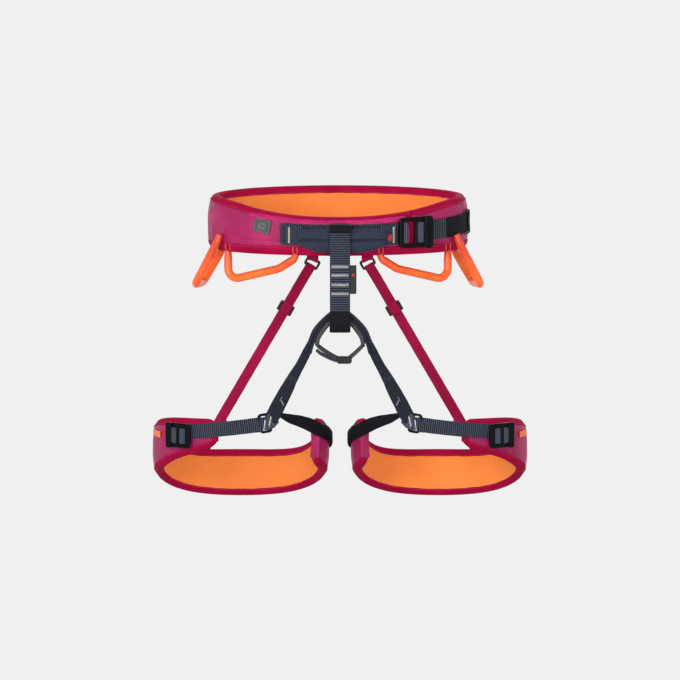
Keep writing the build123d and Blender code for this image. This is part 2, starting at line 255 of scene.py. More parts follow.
def binding_material():
    m = Mat("binding_tape")
    rib = m.wave("UV", 0.0013, "X", rot=(0, 0, 0.9))
    rib2 = m.wave("UV", 0.0010, "Y")
    big = m.noise("Object", 34, 3, 0.55)
    c = m.ramp(big, [(0.25, (0.235, 0.0008, 0.024)), (0.55, (0.335, 0.0016, 0.038)), (0.8, (0.420, 0.0030, 0.054))])
    c = m.mix(0.30, c, m.ramp(rib, [(0.1, (0.19, 0.001, 0.02)), (0.8, (0.50, 0.006, 0.068))]))
    m.colour(c)
    n1 = m.bump(m.noise("Object", 160, 3, 0.6), 0.22, 0.0009)
    m.normal(m.bump(m.math("ADD", rib, rib2), 0.30, 0.00022, n1))
    m.set(Sheen_Weight=0.03, Sheen_Roughness=0.4, Sheen_Tint=(1.0, 0.25, 0.4, 1), Specular_IOR_Level=0.04)
    return m.rough(big, 0.62, 0.82).m


def lining_material():
    m = Mat("lining_fabric")
    wu, wv = m.wave("UV", 0.0016, "X"), m.wave("UV", 0.0013, "Y")
    mesh = m.math("MULTIPLY", wu, wv)
    big = m.noise("Object", 16, 3, 0.5)
    c = m.ramp(big, [(0.3, (0.87, 0.215, 0.040)), (0.7, (0.95, 0.270, 0.055))])
    c = m.mix(0.22, c, m.ramp(mesh, [(0.0, (0.74, 0.15, 0.025)), (0.7, (1.0, 0.33, 0.085))]))
    m.colour(c)
    n1 = m.bump(m.noise("Object", 55, 2, 0.5), 0.10, 0.0012)
    m.normal(m.bump(mesh, 0.26, 0.0003, n1))
    m.set(Sheen_Weight=0.25, Sheen_Roughness=0.5, Sheen_Tint=(1.0, 0.75, 0.5, 1), Specular_IOR_Level=0.2)
    return m.rough(big, 0.78, 0.92).m


def webbing_material(name, low, mid, high, strength=0.5):
    m = Mat(name)
    ribs = m.wave("UV", 0.0027, "X", phase=PI)
    yarn = m.wave("UV", 0.00062, "Y")
    cross = m.wave("UV", 0.0009, "X", rot=(0, 0, 0.45))
    spots = m.noise("UV", 900, 2, 0.6, stretch=(1, 3.0, 1))
    # painted highlight and painted shade: the rib crests are coloured lighter and the grooves between them darker, in
    # step with the ribs of the geometry and the bump
    c = m.ramp(ribs, [(0.22, low), (0.60, mid), (0.92, high)])
    c = m.mix(0.26, c, m.ramp(m.math("MULTIPLY", yarn, cross), [(0.05, low), (0.7, high)]))
    c = m.mix(0.22, c, m.ramp(spots, [(0.40, low), (0.62, mid), (0.78, high)]))
    big = m.noise("Object", 40, 3, 0.5)
    c = m.mix(0.25, c, m.ramp(big, [(0.3, low), (0.75, mid)]))
    m.colour(c)
    n1 = m.bump(ribs, strength, 0.0005)
    m.normal(m.bump(m.math("MULTIPLY", yarn, cross), 0.45, 0.00022, n1))
    m.set(Sheen_Weight=0.0, Specular_IOR_Level=0.10)
    return m.rough(spots, 0.50, 0.72).m


def elastic_material():
    m = Mat("riser_elastic")
    ribs = m.wave("UV", 0.0011, "X")
    yarn = m.wave("UV", 0.0014, "Y")
    big = m.noise("Object", 30, 3, 0.5)
    c = m.ramp(big, [(0.3, (0.270, 0.0030, 0.040)), (0.7, (0.370, 0.0065, 0.062))])
    c = m.mix(0.34, c, m.ramp(m.math("MULTIPLY", ribs, yarn), [(0.0, (0.17, 0.0015, 0.022)), (0.6, (0.46, 0.014, 0.085))]))
    m.colour(c)
    m.normal(m.bump(m.math("ADD", ribs, yarn), 0.42, 0.0003))
    m.set(Sheen_Weight=0.04, Sheen_Roughness=0.4, Sheen_Tint=(1.0, 0.3, 0.5, 1), Specular_IOR_Level=0.10)
    return m.rough(big, 0.6, 0.8).m


def sleeve_material():
    m = Mat("navy_sleeve")
    wu, wv = m.wave("UV", 0.0011, "X", rot=(0, 0, 0.6)), m.wave("UV", 0.0011, "Y", rot=(0, 0, 0.6))
    weave = m.math("MULTIPLY", wu, wv)
    big = m.noise("Object", 45, 3, 0.55)
    c = m.ramp(big, [(0.3, (0.015, 0.021, 0.038)), (0.7, (0.025, 0.034, 0.060))])
    c = m.mix(0.35, c, m.ramp(weave, [(0.0, (0.007, 0.010, 0.019)), (0.7, (0.040, 0.052, 0.088))]))
    m.colour(c)
    n1 = m.bump(m.noise("Object", 120, 3, 0.55, 0.8), 0.25, 0.001)
    m.normal(m.bump(weave, 0.4, 0.00028, n1))
    m.set(Sheen_Weight=0.05, Sheen_Roughness=0.4, Sheen_Tint=(0.6, 0.7, 1.0, 1), Specular_IOR_Level=0.16)
    return m.rough(big, 0.58, 0.76).m


def gear_material():
    m = Mat("gear_loop_orange")
    big = m.noise("Object", 24, 3, 0.5)
    fine = m.noise("Object", 900, 2, 0.5)
    c = m.ramp(big, [(0.3, (0.84, 0.085, 0.007)), (0.7, (0.92, 0.165, 0.014))])
    # painted shade: the loops turn darker red towards the top, where they meet the belt, blending in from z = -56 mm to
    # -28 mm
    sep = m.n("ShaderNodeSeparateXYZ")
    m.link(m.tc.outputs["Object"], sep.inputs[0])
    h = m.n("ShaderNodeMapRange")
    h.inputs["From Min"].default_value = -0.056
    h.inputs["From Max"].default_value = -0.028
    m.link(sep.outputs["Z"], h.inputs["Value"])
    c = m.mix(h.outputs[0], c, (0.66, 0.050, 0.006))
    m.colour(c)
    m.normal(m.bump(fine, 0.10, 0.0002, m.bump(m.noise("Object", 120, 2, 0.5), 0.10, 0.0006)))
    m.set(Subsurface_Weight=0.28, Subsurface_Radius=(1.0, 0.35, 0.1), Subsurface_Scale=0.004, Coat_Weight=0.12,
          Coat_Roughness=0.25, Specular_IOR_Level=0.5)
    return m.rough(fine, 0.30, 0.42).m


def metal_material():
    m = Mat("buckle_metal")
    big = m.noise("Object", 70, 4, 0.6)
    fine = m.noise("Object", 1500, 2, 0.5)
    c = m.ramp(big, [(0.3, (0.0015, 0.0015, 0.002)), (0.62, (0.003, 0.003, 0.004)), (0.8, (0.008, 0.008, 0.010))])
    m.colour(c)
    m.normal(m.bump(fine, 0.10, 0.00012))
    m.set(Metallic=0.0, Specular_IOR_Level=0.10, Coat_Weight=0.0)
    return m.rough(big, 0.16, 0.30).m


def ring_material():
    m = Mat("ring_metal")
    big = m.noise("Object", 110, 4, 0.6)
    m.colour(m.ramp(big, [(0.3, (0.10, 0.10, 0.105)), (0.7, (0.26, 0.26, 0.27))]))
    m.normal(m.bump(m.noise("Object", 1400, 2, 0.5, stretch=(1, 1, 4)), 0.12, 0.0001))
    m.set(Metallic=1.0)
    return m.rough(big, 0.26, 0.45).m


def plastic_material():
    m = Mat("black_plastic")
    fine = m.noise("Object", 1300, 3, 0.6)
    big = m.noise("Object", 60, 3, 0.5)
    m.colour(m.ramp(big, [(0.3, (0.004, 0.004, 0.005)), (0.75, (0.012, 0.012, 0.013))]))
    m.normal(m.bump(fine, 0.25, 0.00015))
    m.set(Specular_IOR_Level=0.25)
    return m.rough(fine, 0.36, 0.52).m


def plain_fabric(name, a, b, rough=(0.7, 0.85), bump=0.3, sheen=0.15):
    m = Mat(name)
    wu, wv = m.wave("UV", 0.0008, "X"), m.wave("UV", 0.0008, "Y")
    weave = m.math("MULTIPLY", wu, wv)
    big = m.noise("Object", 80, 3, 0.5)
    c = m.mix(0.5, m.ramp(big, [(0.3, a), (0.7, b)]), m.ramp(weave, [(0.0, a), (0.7, b)]))
    m.colour(c)
    m.normal(m.bump(weave, bump, 0.0002))
    m.set(Sheen_Weight=sheen, Sheen_Roughness=0.4, Specular_IOR_Level=0.3)
    return m.rough(big, *rough).m


M = {
    "shell": shell_material(), "strip": shell_material("front_strip_fabric", 1.32), "binding": binding_material(), "lining": lining_material(),
    "web": webbing_material("dark_webbing", (0.0020, 0.0023, 0.0040), (0.015, 0.0175, 0.029), (0.150, 0.172, 0.245)),
    "web_plain": webbing_material("dark_webbing_smooth", (0.0022, 0.0024, 0.0036), (0.0045, 0.005, 0.0075),
                                  (0.014, 0.016, 0.024), strength=0.12),
    "web_speck": webbing_material("dark_webbing_speckled", (0.0018, 0.0020, 0.0034), (0.007, 0.008, 0.014),
                                  (0.070, 0.082, 0.122), strength=0.35),
    "web_blue": webbing_material("blue_grey_webbing", (0.016, 0.020, 0.032), (0.052, 0.062, 0.092), (0.15, 0.17, 0.225)),
    "sleeve": sleeve_material(), "elastic": elastic_material(), "gear": gear_material(), "metal": metal_material(),
    "ring": ring_material(), "plastic": plastic_material(),
    "prot": plain_fabric("grey_protector", (0.030, 0.028, 0.031), (0.085, 0.080, 0.088)),
    "cream": plain_fabric("thread_cream", (0.42, 0.39, 0.30), (0.66, 0.62, 0.50), (0.6, 0.75)),
    "grey_thread": plain_fabric("thread_grey", (0.22, 0.22, 0.215), (0.42, 0.41, 0.39), (0.6, 0.75)),
    "pink_thread": plain_fabric("thread_pink", (0.46, 0.02, 0.11), (0.62, 0.045, 0.17), (0.55, 0.7)),
    "dark_thread": plain_fabric("thread_dark", (0.010, 0.012, 0.018), (0.03, 0.034, 0.05), (0.6, 0.75)),
    "orange_thread": plain_fabric("thread_orange", (0.80, 0.12, 0.02), (0.95, 0.26, 0.06), (0.55, 0.7)),
    "label": plain_fabric("label_grey", (0.045, 0.043, 0.046), (0.085, 0.080, 0.085), (0.5, 0.65)),
    "label_light": plain_fabric("label_light", (0.36, 0.35, 0.35), (0.52, 0.51, 0.51), (0.5, 0.65)),
    "label_black": plain_fabric("label_black", (0.010, 0.010, 0.012), (0.022, 0.022, 0.026), (0.55, 0.7)),
    "red": plain_fabric("label_red", (0.42, 0.012, 0.012), (0.62, 0.03, 0.025), (0.5, 0.65)),
    "orange_print": plain_fabric("orange_stripe", (0.80, 0.13, 0.018), (0.94, 0.24, 0.05), (0.5, 0.65)),
    "panel": None,
}


# ------------------------------------------------------------------ mesh tools (millimetres in, metres out)
class MB:
    def __init__(self):
        self.v, self.f, self.uv, self.n = [], [], [], 0

    def grid(self, P, U, V, cu=False, cv=False):
        """P is (nu, nv, 3). U and V give the texture place along each way; a closed way has one value more."""
        nu, nv = P.shape[:2]
        base = self.n
        self.v.append(P.reshape(-1, 3))
        self.n += nu * nv
        iu = np.arange(nu if cu else nu - 1)
        iv = np.arange(nv if cv else nv - 1)
        I, J = np.meshgrid(iu, iv, indexing="ij")
        I2, J2 = (I + 1) % nu, (J + 1) % nv
        a, b, c, d = I * nv + J, I2 * nv + J, I2 * nv + J2, I * nv + J2
        self.f.append((np.stack([a, b, c, d], -1).reshape(-1, 4) + base))
        U, V = np.asarray(U, float), np.asarray(V, float)
        u0, u1, v0, v1 = U[I], U[I + 1], V[J], V[J + 1]
        self.uv.append(np.stack([np.stack([u0, v0], -1), np.stack([u1, v0], -1), np.stack([u1, v1], -1),
                                 np.stack([u0, v1], -1)], -2).reshape(-1, 4, 2))

    def poly(self, pts, uvs=None):
        base = self.n
        pts = np.asarray(pts, float)
        self.v.append(pts)
        self.n += len(pts)
        self.f.append([list(range(base, base + len(pts)))])
        self.uv.append([np.zeros((len(pts), 2)) if uvs is None else np.asarray(uvs, float)])

    def strip_section(self, P, U, V, cap=True, cu=False):
        """Closed section swept along u."""
        self.grid(P, U, V, cu=cu, cv=True)
        if cap and not cu:
            k = P.shape[1]
            base = self.n - P.shape[0] * k
            self.f.append([[base + i for i in range(k)][::-1]])
            self.uv.append([np.zeros((k, 2))])
            top = base + (P.shape[0] - 1) * k
            self.f.append([[top + i for i in range(k)]])
            self.uv.append([np.zeros((k, 2))])

    def build(self, name, mat, fix=True, smooth=True, weld=True):
        me = bpy.data.meshes.new(name)
        verts = (np.concatenate(self.v) * MM).tolist()
        faces, uvs = [], []
        for f, u in zip(self.f, self.uv):
            for a, b in zip(f, u):
                faces.append([int(x) for x in a])
                uvs.append(b)
        me.from_pydata(verts, [], faces)
        layer = me.uv_layers.new(name="UVMap")
        flat = np.concatenate([np.asarray(u).reshape(-1, 2) for u in uvs]) * MM
        layer.data.foreach_set("uv", flat.astype(np.float32).ravel())
        if weld or fix:
            bm = bmesh.new()
            bm.from_mesh(me)
            if weld:
                bmesh.ops.remove_doubles(bm, verts=bm.verts, dist=1e-7)
            if fix:
                bmesh.ops.recalc_face_normals(bm, faces=bm.faces)
            bm.to_mesh(me)
            bm.free()
        if smooth:
            me.polygons.foreach_set("use_smooth", [True] * len(me.polygons))
        me.materials.append(mat)
        me.update()
        o = bpy.data.objects.new(name, me)
        scene.collection.objects.link(o)
        return o


def catmull(pts, per=24, closed=False):
    p = np.asarray(pts, float)
    n = len(p)
    out = []
    segs = n if closed else n - 1
    for i in range(segs):
        if closed:
            a, b, c, d = p[(i - 1) % n], p[i], p[(i + 1) % n], p[(i + 2) % n]
        else:
            b, c = p[i], p[i + 1]
            a = p[i - 1] if i > 0 else 2 * b - c
            d = p[i + 2] if i + 2 < n else 2 * c - b
        # centripetal form keeps long and short spans even
        ta = 0.0
        tb = ta + max(np.linalg.norm((b - a)[:3]), 1e-6) ** 0.5
        tc = tb + max(np.linalg.norm((c - b)[:3]), 1e-6) ** 0.5
        td = tc + max(np.linalg.norm((d - c)[:3]), 1e-6) ** 0.5
        t = np.linspace(tb, tc, per, endpoint=False)[:, None]
        A1 = (tb - t) / (tb - ta) * a + (t - ta) / (tb - ta) * b
        A2 = (tc - t) / (tc - tb) * b + (t - tb) / (tc - tb) * c
        A3 = (td - t) / (td - tc) * c + (t - tc) / (td - tc) * d
        B1 = (tc - t) / (tc - ta) * A1 + (t - ta) / (tc - ta) * A2
        B2 = (td - t) / (td - tb) * A2 + (t - tb) / (td - tb) * A3
        out.append((tc - t) / (tc - tb) * B1 + (t - tb) / (tc - tb) * B2)
    out = np.concatenate(out)
    if not closed:
        out = np.vstack([out, p[-1]])
    return out


def resample(path, ds, closed=False):
    """Even spacing along the first three columns; further columns go along."""
    p = np.vstack([path, path[:1]]) if closed else path
    seg = np.linalg.norm(np.diff(p[:, :3], axis=0), axis=1)
    s = np.concatenate([[0], np.cumsum(seg)])
    n = max(3, int(round(s[-1] / ds)) + (0 if closed else 1))
    t = np.linspace(0, s[-1], n, endpoint=not closed)
    return np.stack([np.interp(t, s, p[:, k]) for k in range(p.shape[1])], 1), t, s[-1]


def unit(a):
    return a / np.maximum(np.linalg.norm(a, axis=-1, keepdims=True), 1e-9)


def tangents(p, closed=False):
    if closed:
        return unit(np.roll(p, -1, 0) - np.roll(p, 1, 0))
    t = np.gradient(p, axis=0)
    return unit(t)


def wob(s, seed, amp, wl):
    r = np.random.RandomState(seed)
    out = np.zeros_like(s)
    for k in range(4):
        out += np.sin(2 * PI * s / (wl * (0.6 + 0.5 * k)) + r.uniform(0, 6.28)) / (1 + k)
    return amp * out / 2


def ribbon(name, ctrl, width, thick, mat, pitch=2.7, rib=0.22, closed=False, na=8, ds=None, mask=None, raw=False, per=24,
           sag=0.0, seed=1, edge=4.0):
    """Webbing along ctrl rows (x, y, z, wx, wy, wz[, width factor]); the last three are its width direction."""
    c = np.asarray(ctrl, float)
    if c.shape[1] == 6:
        c = np.hstack([c, np.ones((len(c), 1))])
    dense = c if raw else catmull(c, per, closed)
    ds = ds or pitch / 6
    path, s, total = resample(dense, ds, closed)
    T = tangents(path[:, :3], closed)
    W = unit(path[:, 3:6] - (path[:, 3:6] * T).sum(1, keepdims=True) * T)
    N = np.cross(T, W)
    wf = path[:, 6]
    j = np.linspace(-1, 1, na * 2 + 1)
    x = np.sin(j * PI / 2) * 0.35 + j * 0.65
    h = thick / 2 * np.maximum(1 - np.abs(x) ** edge, 0.0) ** 0.5
    h[0] = h[-1] = thick * 0.10
    count = max(1, round(total / pitch))
    ph = np.cos(2 * PI * s / total * count)
    mk = np.ones_like(s) if mask is None else mask(path[:, :3], s, total)
    ribs = rib * (ph * mk)[:, None] * (1 - np.abs(x) ** 8)[None, :]
    half = width / 2
    wv = wob(s, seed, 0.10, 30.0)[:, None]
    X = (x[None, :] * half * wf[:, None])
    cup = sag * (1 - x[None, :] ** 2)
    top = path[:, None, :3] + W[:, None] * (X + wv)[..., None] + N[:, None] * (h[None, :] + ribs + cup)[..., None]
    bot = path[:, None, :3] + W[:, None] * (X + wv)[..., None] - N[:, None] * (h[None, :] + ribs - cup)[..., None]
    P = np.concatenate([top, bot[:, ::-1]], 1)
    v = np.concatenate([x * half, x[::-1] * half + 2 * width + 0.0, [x[0] * half]])
    v = np.concatenate([x * half, (width + x * half), [width + half + 0.5]])
    U = np.concatenate([s, [total]]) / total * count * 2.7 if closed else s / total * count * 2.7
    mb = MB()
    mb.strip_section(P, U, v, cu=closed)
    return mb.build(name, mat)


def tube(name, ctrl, r, mat, closed=False, seg=20, ds=1.6, flat=None, per=16, raw=False):
    """Round tube; ctrl rows are (x, y, z[, radius factor])."""
    c = np.asarray(ctrl, float)
    if c.shape[1] == 3:
        c = np.hstack([c, np.ones((len(c), 1))])
    dense = c if raw else catmull(c, per, closed)
    path, s, total = resample(dense, ds, closed)
    p = path[:, :3]
    T = tangents(p, closed)
    ref = np.array([0.0, 0, 1]) if abs(T[0][2]) < 0.9 else np.array([1.0, 0, 0])
    n = unit((np.cross(T[0], ref))[None])[0]
    N = [n]
    for k in range(1, len(p)):
        n = N[-1] - T[k] * np.dot(N[-1], T[k])
        N.append(n / np.linalg.norm(n))
    N = np.array(N)
    B = np.cross(T, N)
    a = np.linspace(0, 2 * PI, seg, endpoint=False)
    rr = r * path[:, 3]
    P = p[:, None] + (np.cos(a)[None, :, None] * N[:, None] + np.sin(a)[None, :, None] * B[:, None]) * rr[:, None, None]
    mb = MB()
    V = np.linspace(0, 2 * PI * r, seg + 1)
    U = np.concatenate([s, [total]]) if closed else s
    mb.strip_section(P, U, V, cu=closed)
    return mb.build(name, mat)


def fillet_path(pts, radii, step=4.0):
    """Straight runs joined by arcs, as dense points."""
    p = [np.asarray(q, float) for q in pts]
    out = [p[0]]
    for i in range(1, len(p) - 1):
        a, b = unit((p[i - 1] - p[i])[None])[0], unit((p[i + 1] - p[i])[None])[0]
        ang = math.acos(max(-1, min(1, float(a @ b))))
        d = radii[i - 1] / math.tan(ang / 2)
        cdir = unit((a + b)[None])[0]
        c = p[i] + cdir * radii[i - 1] / math.sin(ang / 2)
        s0, s1 = p[i] + a * d - c, p[i] + b * d - c
        sweep = PI - ang
        for t in np.linspace(0, 1, 12):
            w = (math.sin((1 - t) * sweep) * s0 + math.sin(t * sweep) * s1) / math.sin(sweep)
            out.append(c + w)
    out.append(p[-1])
    q = np.array(out)
    r, _, _ = resample(q, step / 4)
    return r


def stitches(mb, path, normal, length=2.4, gap=1.3, r=0.26, lift=0.12, offset=0.0):
    """Thread lying along a line, stitch by stitch."""
    p, s, total = resample(np.asarray(path, float), 0.4)
    nrm = np.asarray(normal, float)
    if nrm.ndim == 1:
        nrm = np.repeat(nrm[None], len(path), 0)
    full = np.concatenate([[0], np.cumsum(np.linalg.norm(np.diff(np.asarray(path)[:, :3], axis=0), axis=1))])
    T = tangents(p[:, :3])
    k = offset
    while k + length < total:
        a, b = k, k + length
        t = np.array([a, a + length * 0.2, a + length * 0.5, b - length * 0.2, b])
        c = np.stack([np.interp(t, s, p[:, i]) for i in range(3)], 1)
        n = unit(np.stack([np.interp(t, full, nrm[:, i]) for i in range(3)], 1))
        tt = np.stack([np.interp(t, s, T[:, i]) for i in range(3)], 1)
        side = unit(np.cross(tt, n))
        rr = np.array([0.25, 0.9, 1.0, 0.9, 0.25]) * r
        up = np.array([-0.4, 0.6, 1.0, 0.6, -0.4]) * lift
        ang = np.linspace(0, 2 * PI, 6, endpoint=False)
        P = (c + n * up[:, None])[:, None] + (np.cos(ang)[None, :, None] * side[:, None] +
                                              np.sin(ang)[None, :, None] * n[:, None]) * rr[:, None, None]
        mb.strip_section(P, t, np.linspace(0, 1.5, 7))
        k += length + gap


def tack(mb, centre, along, across, normal, length, width, pitch=0.62, r=0.30):
    """Bartack: close threads across a short bar. 'along' is the bar's long way."""
    c, a, b, n = (np.asarray(q, float) for q in (centre, along, across, normal))
    a, b, n = a / np.linalg.norm(a), b / np.linalg.norm(b), n / np.linalg.norm(n)
    k = int(length / pitch)
    for i in range(k + 1):
        t = (i / k - 0.5) * length
        sl = 0.30 if i % 2 else -0.30
        p0 = c + a * (t - sl) - b * width / 2
        p1 = c + a * (t + sl) + b * width / 2
        path = np.array([p0, (p0 + p1) / 2 + n * 0.15, p1])
        stitches(mb, path, n, length=width * 0.98, gap=1, r=r, lift=0.1)


def plate(name, outer, holes, thick, bevel, mat, origin, xdir, zdir, z0=0.0):
    """Flat plate with holes and rounded edges, in a local plane."""
    cu = bpy.data.curves.new(name, "CURVE")
    cu.dimensions = "2D"
    cu.fill_mode = "BOTH"
    cu.extrude = (thick / 2 - bevel) * MM
    cu.bevel_depth = bevel * MM
    cu.bevel_resolution = 4
    cu.offset = -bevel * MM
    for loop in [outer] + holes:
        sp = cu.splines.new("POLY")
        sp.points.add(len(loop) - 1)
        for q, (x, y) in zip(sp.points, loop):
            q.co = (x * MM, y * MM, 0, 1)
        sp.use_cyclic_u = True
    tmp = bpy.data.objects.new(name + "_c", cu)
    scene.collection.objects.link(tmp)
    bpy.context.view_layer.update()
    me = bpy.data.meshes.new_from_object(tmp.evaluated_get(bpy.context.evaluated_depsgraph_get()))
    bpy.data.objects.remove(tmp)
    bpy.data.curves.remove(cu)
    xd, zd = Vector(xdir).normalized(), Vector(zdir).normalized()
    yd = zd.cross(xd)
    co = np.zeros(len(me.vertices) * 3)
    me.vertices.foreach_get("co", co)
    co = co.reshape(-1, 3)
    co[:, 2] += (z0 + thick / 2) * MM
    w = np.array(origin) * MM + co[:, :1] * np.array(xd) + co[:, 1:2] * np.array(yd) + co[:, 2:] * np.array(zd)
    me.vertices.foreach_set("co", w.ravel())
    me.materials.clear()
    me.materials.append(mat)
    bm = bmesh.new()
    bm.from_mesh(me)
    bmesh.ops.remove_doubles(bm, verts=bm.verts, dist=2e-6)
    bmesh.ops.recalc_face_normals(bm, faces=bm.faces)
    bm.to_mesh(me)
    bm.free()
    me.name = name
    o = bpy.data.objects.new(name, me)
    scene.collection.objects.link(o)
    me.polygons.foreach_set("use_smooth", [True] * len(me.polygons))
    me.set_sharp_from_angle(angle=math.radians(35))
    return o


def rrect(w, h, r, n=6, cx=0.0, cy=0.0):
    pts = []
    for sx, sy, a0 in ((1, 1, 0), (-1, 1, 90), (-1, -1, 180), (1, -1, 270)):
        for k in range(n + 1):
            a = math.radians(a0 + 90 * k / n)
            pts.append((cx + sx * (w / 2 - r) + r * math.cos(a), cy + sy * (h / 2 - r) + r * math.sin(a)))
    return pts


def mirror_obj(o, name, cx=0.0):
    me = o.data.copy()
    co = np.zeros(len(me.vertices) * 3)
    me.vertices.foreach_get("co", co)
    co = co.reshape(-1, 3)
    co[:, 0] = 2 * cx * MM - co[:, 0]
    me.vertices.foreach_set("co", co.ravel())
    me.flip_normals()
    me.name = name
    n = bpy.data.objects.new(name, me)
    scene.collection.objects.link(n)
    return n


# ------------------------------------------------------------------ the object's own lines (as in the CAD model)
BELT_CX, BELT_A, BELT_B = -2.5, 161.0, 105.0
LEG_CX, LEG_A, LEG_B = -124.0, 109.0, 85.0
BELT_TOP = [(-130, 19), (-105, 19), (-96, 21.3), (-86, 24.4), (-77, 27.2), (-60, 31.5),
            (-37, 34.0), (0, 34.2), (60, 33.5), (105, 32.8), (130, 32.6)]
BELT_BOT = [(-130, -29), (-105, -29), (-60, -30.3), (0, -32.5), (50, -38), (80, -46.5), (105, -56), (130, -62)]
LEG_TOP = [(-110, -237.0), (-85, -238), (-60, -239.5), (-35, -243), (0, -252), (20, -264),
           (41, -281), (60, -292), (77, -297.5), (90, -299), (110, -300)]
LEG_BOT = [(-110, -258), (-85, -269), (-74, -280), (-55, -291), (-32, -303), (0, -318),
           (25, -329), (55, -343.5), (70, -350.5), (85, -356.5), (110, -365)]


def line_fn(pts):
    d = catmull(np.array([(a, b, 0) for a, b in pts], float), 30)
    return lambda y: np.interp(y, d[:, 0], d[:, 1])


belt_top, belt_bot, leg_top, leg_bot = map(line_fn, (BELT_TOP, BELT_BOT, LEG_TOP, LEG_BOT))


def belt_pt(x, o):
    return (x, -(BELT_B + o) * math.sqrt(1 - ((x - BELT_CX) / (BELT_A + o)) ** 2))


def belt_n(x, y):
    v = np.array([(x - BELT_CX) / BELT_A ** 2, y / BELT_B ** 2, 0.0])
    return v / np.linalg.norm(v)


def leg_pt(x, o):
    return (x, -(LEG_B + o) * math.sqrt(max(0, 1 - ((x - LEG_CX) / (LEG_A + o)) ** 2)))


def leg_n(x, y):
    v = np.array([(x - LEG_CX) / LEG_A ** 2, y / LEG_B ** 2, 0.0])
    return v / np.linalg.norm(v)


def lean(t, up, down):
    """Walls draw in towards the rim and the lower edge, t from -1 to 1."""
    return np.where(t > 0, -up * t ** 2, -down * t ** 2)


def sm(x, a, b):
    t = np.clip((x - a) / (b - a), 0, 1)
    return t * t * (3 - 2 * t)


def wall_point(cx, a, b, th, o, z):
    x = cx + (a + o) * np.cos(th)
    y = (b + o) * np.sin(th)
    return np.stack(np.broadcast_arrays(x, y, z), -1)



from mathutils import noise as mn


def nz(P, scale, off=0.0):
    q = P.reshape(-1, 3) * scale + off
    return np.array([mn.noise(Vector(r)) for r in q.tolist()]).reshape(P.shape[:-1])


def crinkle(P, seed=0.0):
    """Small creases of a sewn fabric face, in millimetres."""
    st = P * np.array([1.0, 1.0, 0.42])
    a = 1 - np.abs(nz(st, 0.055, seed)) * 2.2
    b = 1 - np.abs(nz(st, 0.13, seed + 9.0)) * 2.0
    return 0.55 * (a - 0.6) + 0.26 * (b - 0.6)


def groove(d, w):
    return np.exp(-(d / w) ** 2)


class Wall:
    """An upright oval wall; theta runs round it, o is the distance outside the shell line."""

    def __init__(self, cx, a, b, top, bot, lean_top, lean_bot, ends=None):
        self.cx, self.a, self.b, self.top, self.bot = cx, a, b, top, bot
        self.lt, self.lb, self.ends = lean_top, lean_bot, ends

    def round_off(self, th, drop, run):
        """How far an edge draws in close to the open ends."""
        if self.ends is None:
            return 0.0
        r = np.sqrt((self.a * np.sin(th)) ** 2 + (self.b * np.cos(th)) ** 2)
        d = np.minimum((th - self.ends[0]) * r, (self.ends[1] - th) * r)
        return drop * np.clip(1 - d / run, 0, 1) ** 2

    def T(self, th):
        return self.top(self.y(th)) - self.round_off(th, 6.0, 12.0)

    def B(self, th):
        return self.bot(self.y(th)) + self.round_off(th, 5.0, 11.0)

    def theta_of_x(self, x, o=0.0, front=True):
        c = math.acos(max(-1, min(1, (x - self.cx) / (self.a + o))))
        return -c if front else c

    def pt(self, th, o, z):
        th, o, z = np.broadcast_arrays(th, o, z)
        y_ = self.b * np.sin(th)
        zt, zb = self.top(y_), self.bot(y_)
        t = (z - (zt + zb) / 2) / ((zt - zb) / 2)
        side = 0.35 + 0.65 * np.abs(np.cos(th)) ** 1.5
        o = o - side * np.where(t > 0, self.lt, self.lb) * np.clip(np.abs(t) - 0.1, 0, 1.3) ** 2 / 0.81
        # o is laid along the true normal so that padding keeps one thickness
        x, y = self.a * np.cos(th), self.b * np.sin(th)
        n = unit(np.stack([x / self.a ** 2, y / self.b ** 2], -1))
        return np.stack([self.cx + x + n[..., 0] * o, y + n[..., 1] * o, z], -1)

    def normal(self, th):
        x, y = self.a * np.cos(th), self.b * np.sin(th)
        n = unit(np.stack([x / self.a ** 2, y / self.b ** 2], -1))
        return np.stack([n[..., 0], n[..., 1], np.zeros_like(th)], -1)

    def arc(self, th):
        p = self.pt(th, 0, 0)
        return np.concatenate([[0], np.cumsum(np.linalg.norm(np.diff(p, axis=0), axis=1))])

    def y(self, th):
        return self.b * np.sin(th)

    def even(self, t0, t1, ds):
        t = np.linspace(t0, t1, 4000)
        s = self.arc(t)
        n = max(4, int(s[-1] / ds))
        return np.interp(np.linspace(0, s[-1], n), s, t)


BELT = Wall(BELT_CX, BELT_A, BELT_B, belt_top, belt_bot, 3.0, 0.8)
TH_FLAP = -math.acos((-155.0 - LEG_CX) / LEG_A)          # flap end of a leg loop, front outer
TH_INNER = -math.acos((-27.0 - LEG_CX) / LEG_A)          # inner end, front
LEG = Wall(LEG_CX, LEG_A, LEG_B, leg_top, leg_bot, 2.8, 3.0, (TH_INNER, TH_FLAP + 2 * PI))


def pinch(d, amount, depth=8.5):
    """The binding squeezes the padding; d is the distance from the edge."""
    return amount * sm(depth - d, 0, depth * 1.05)


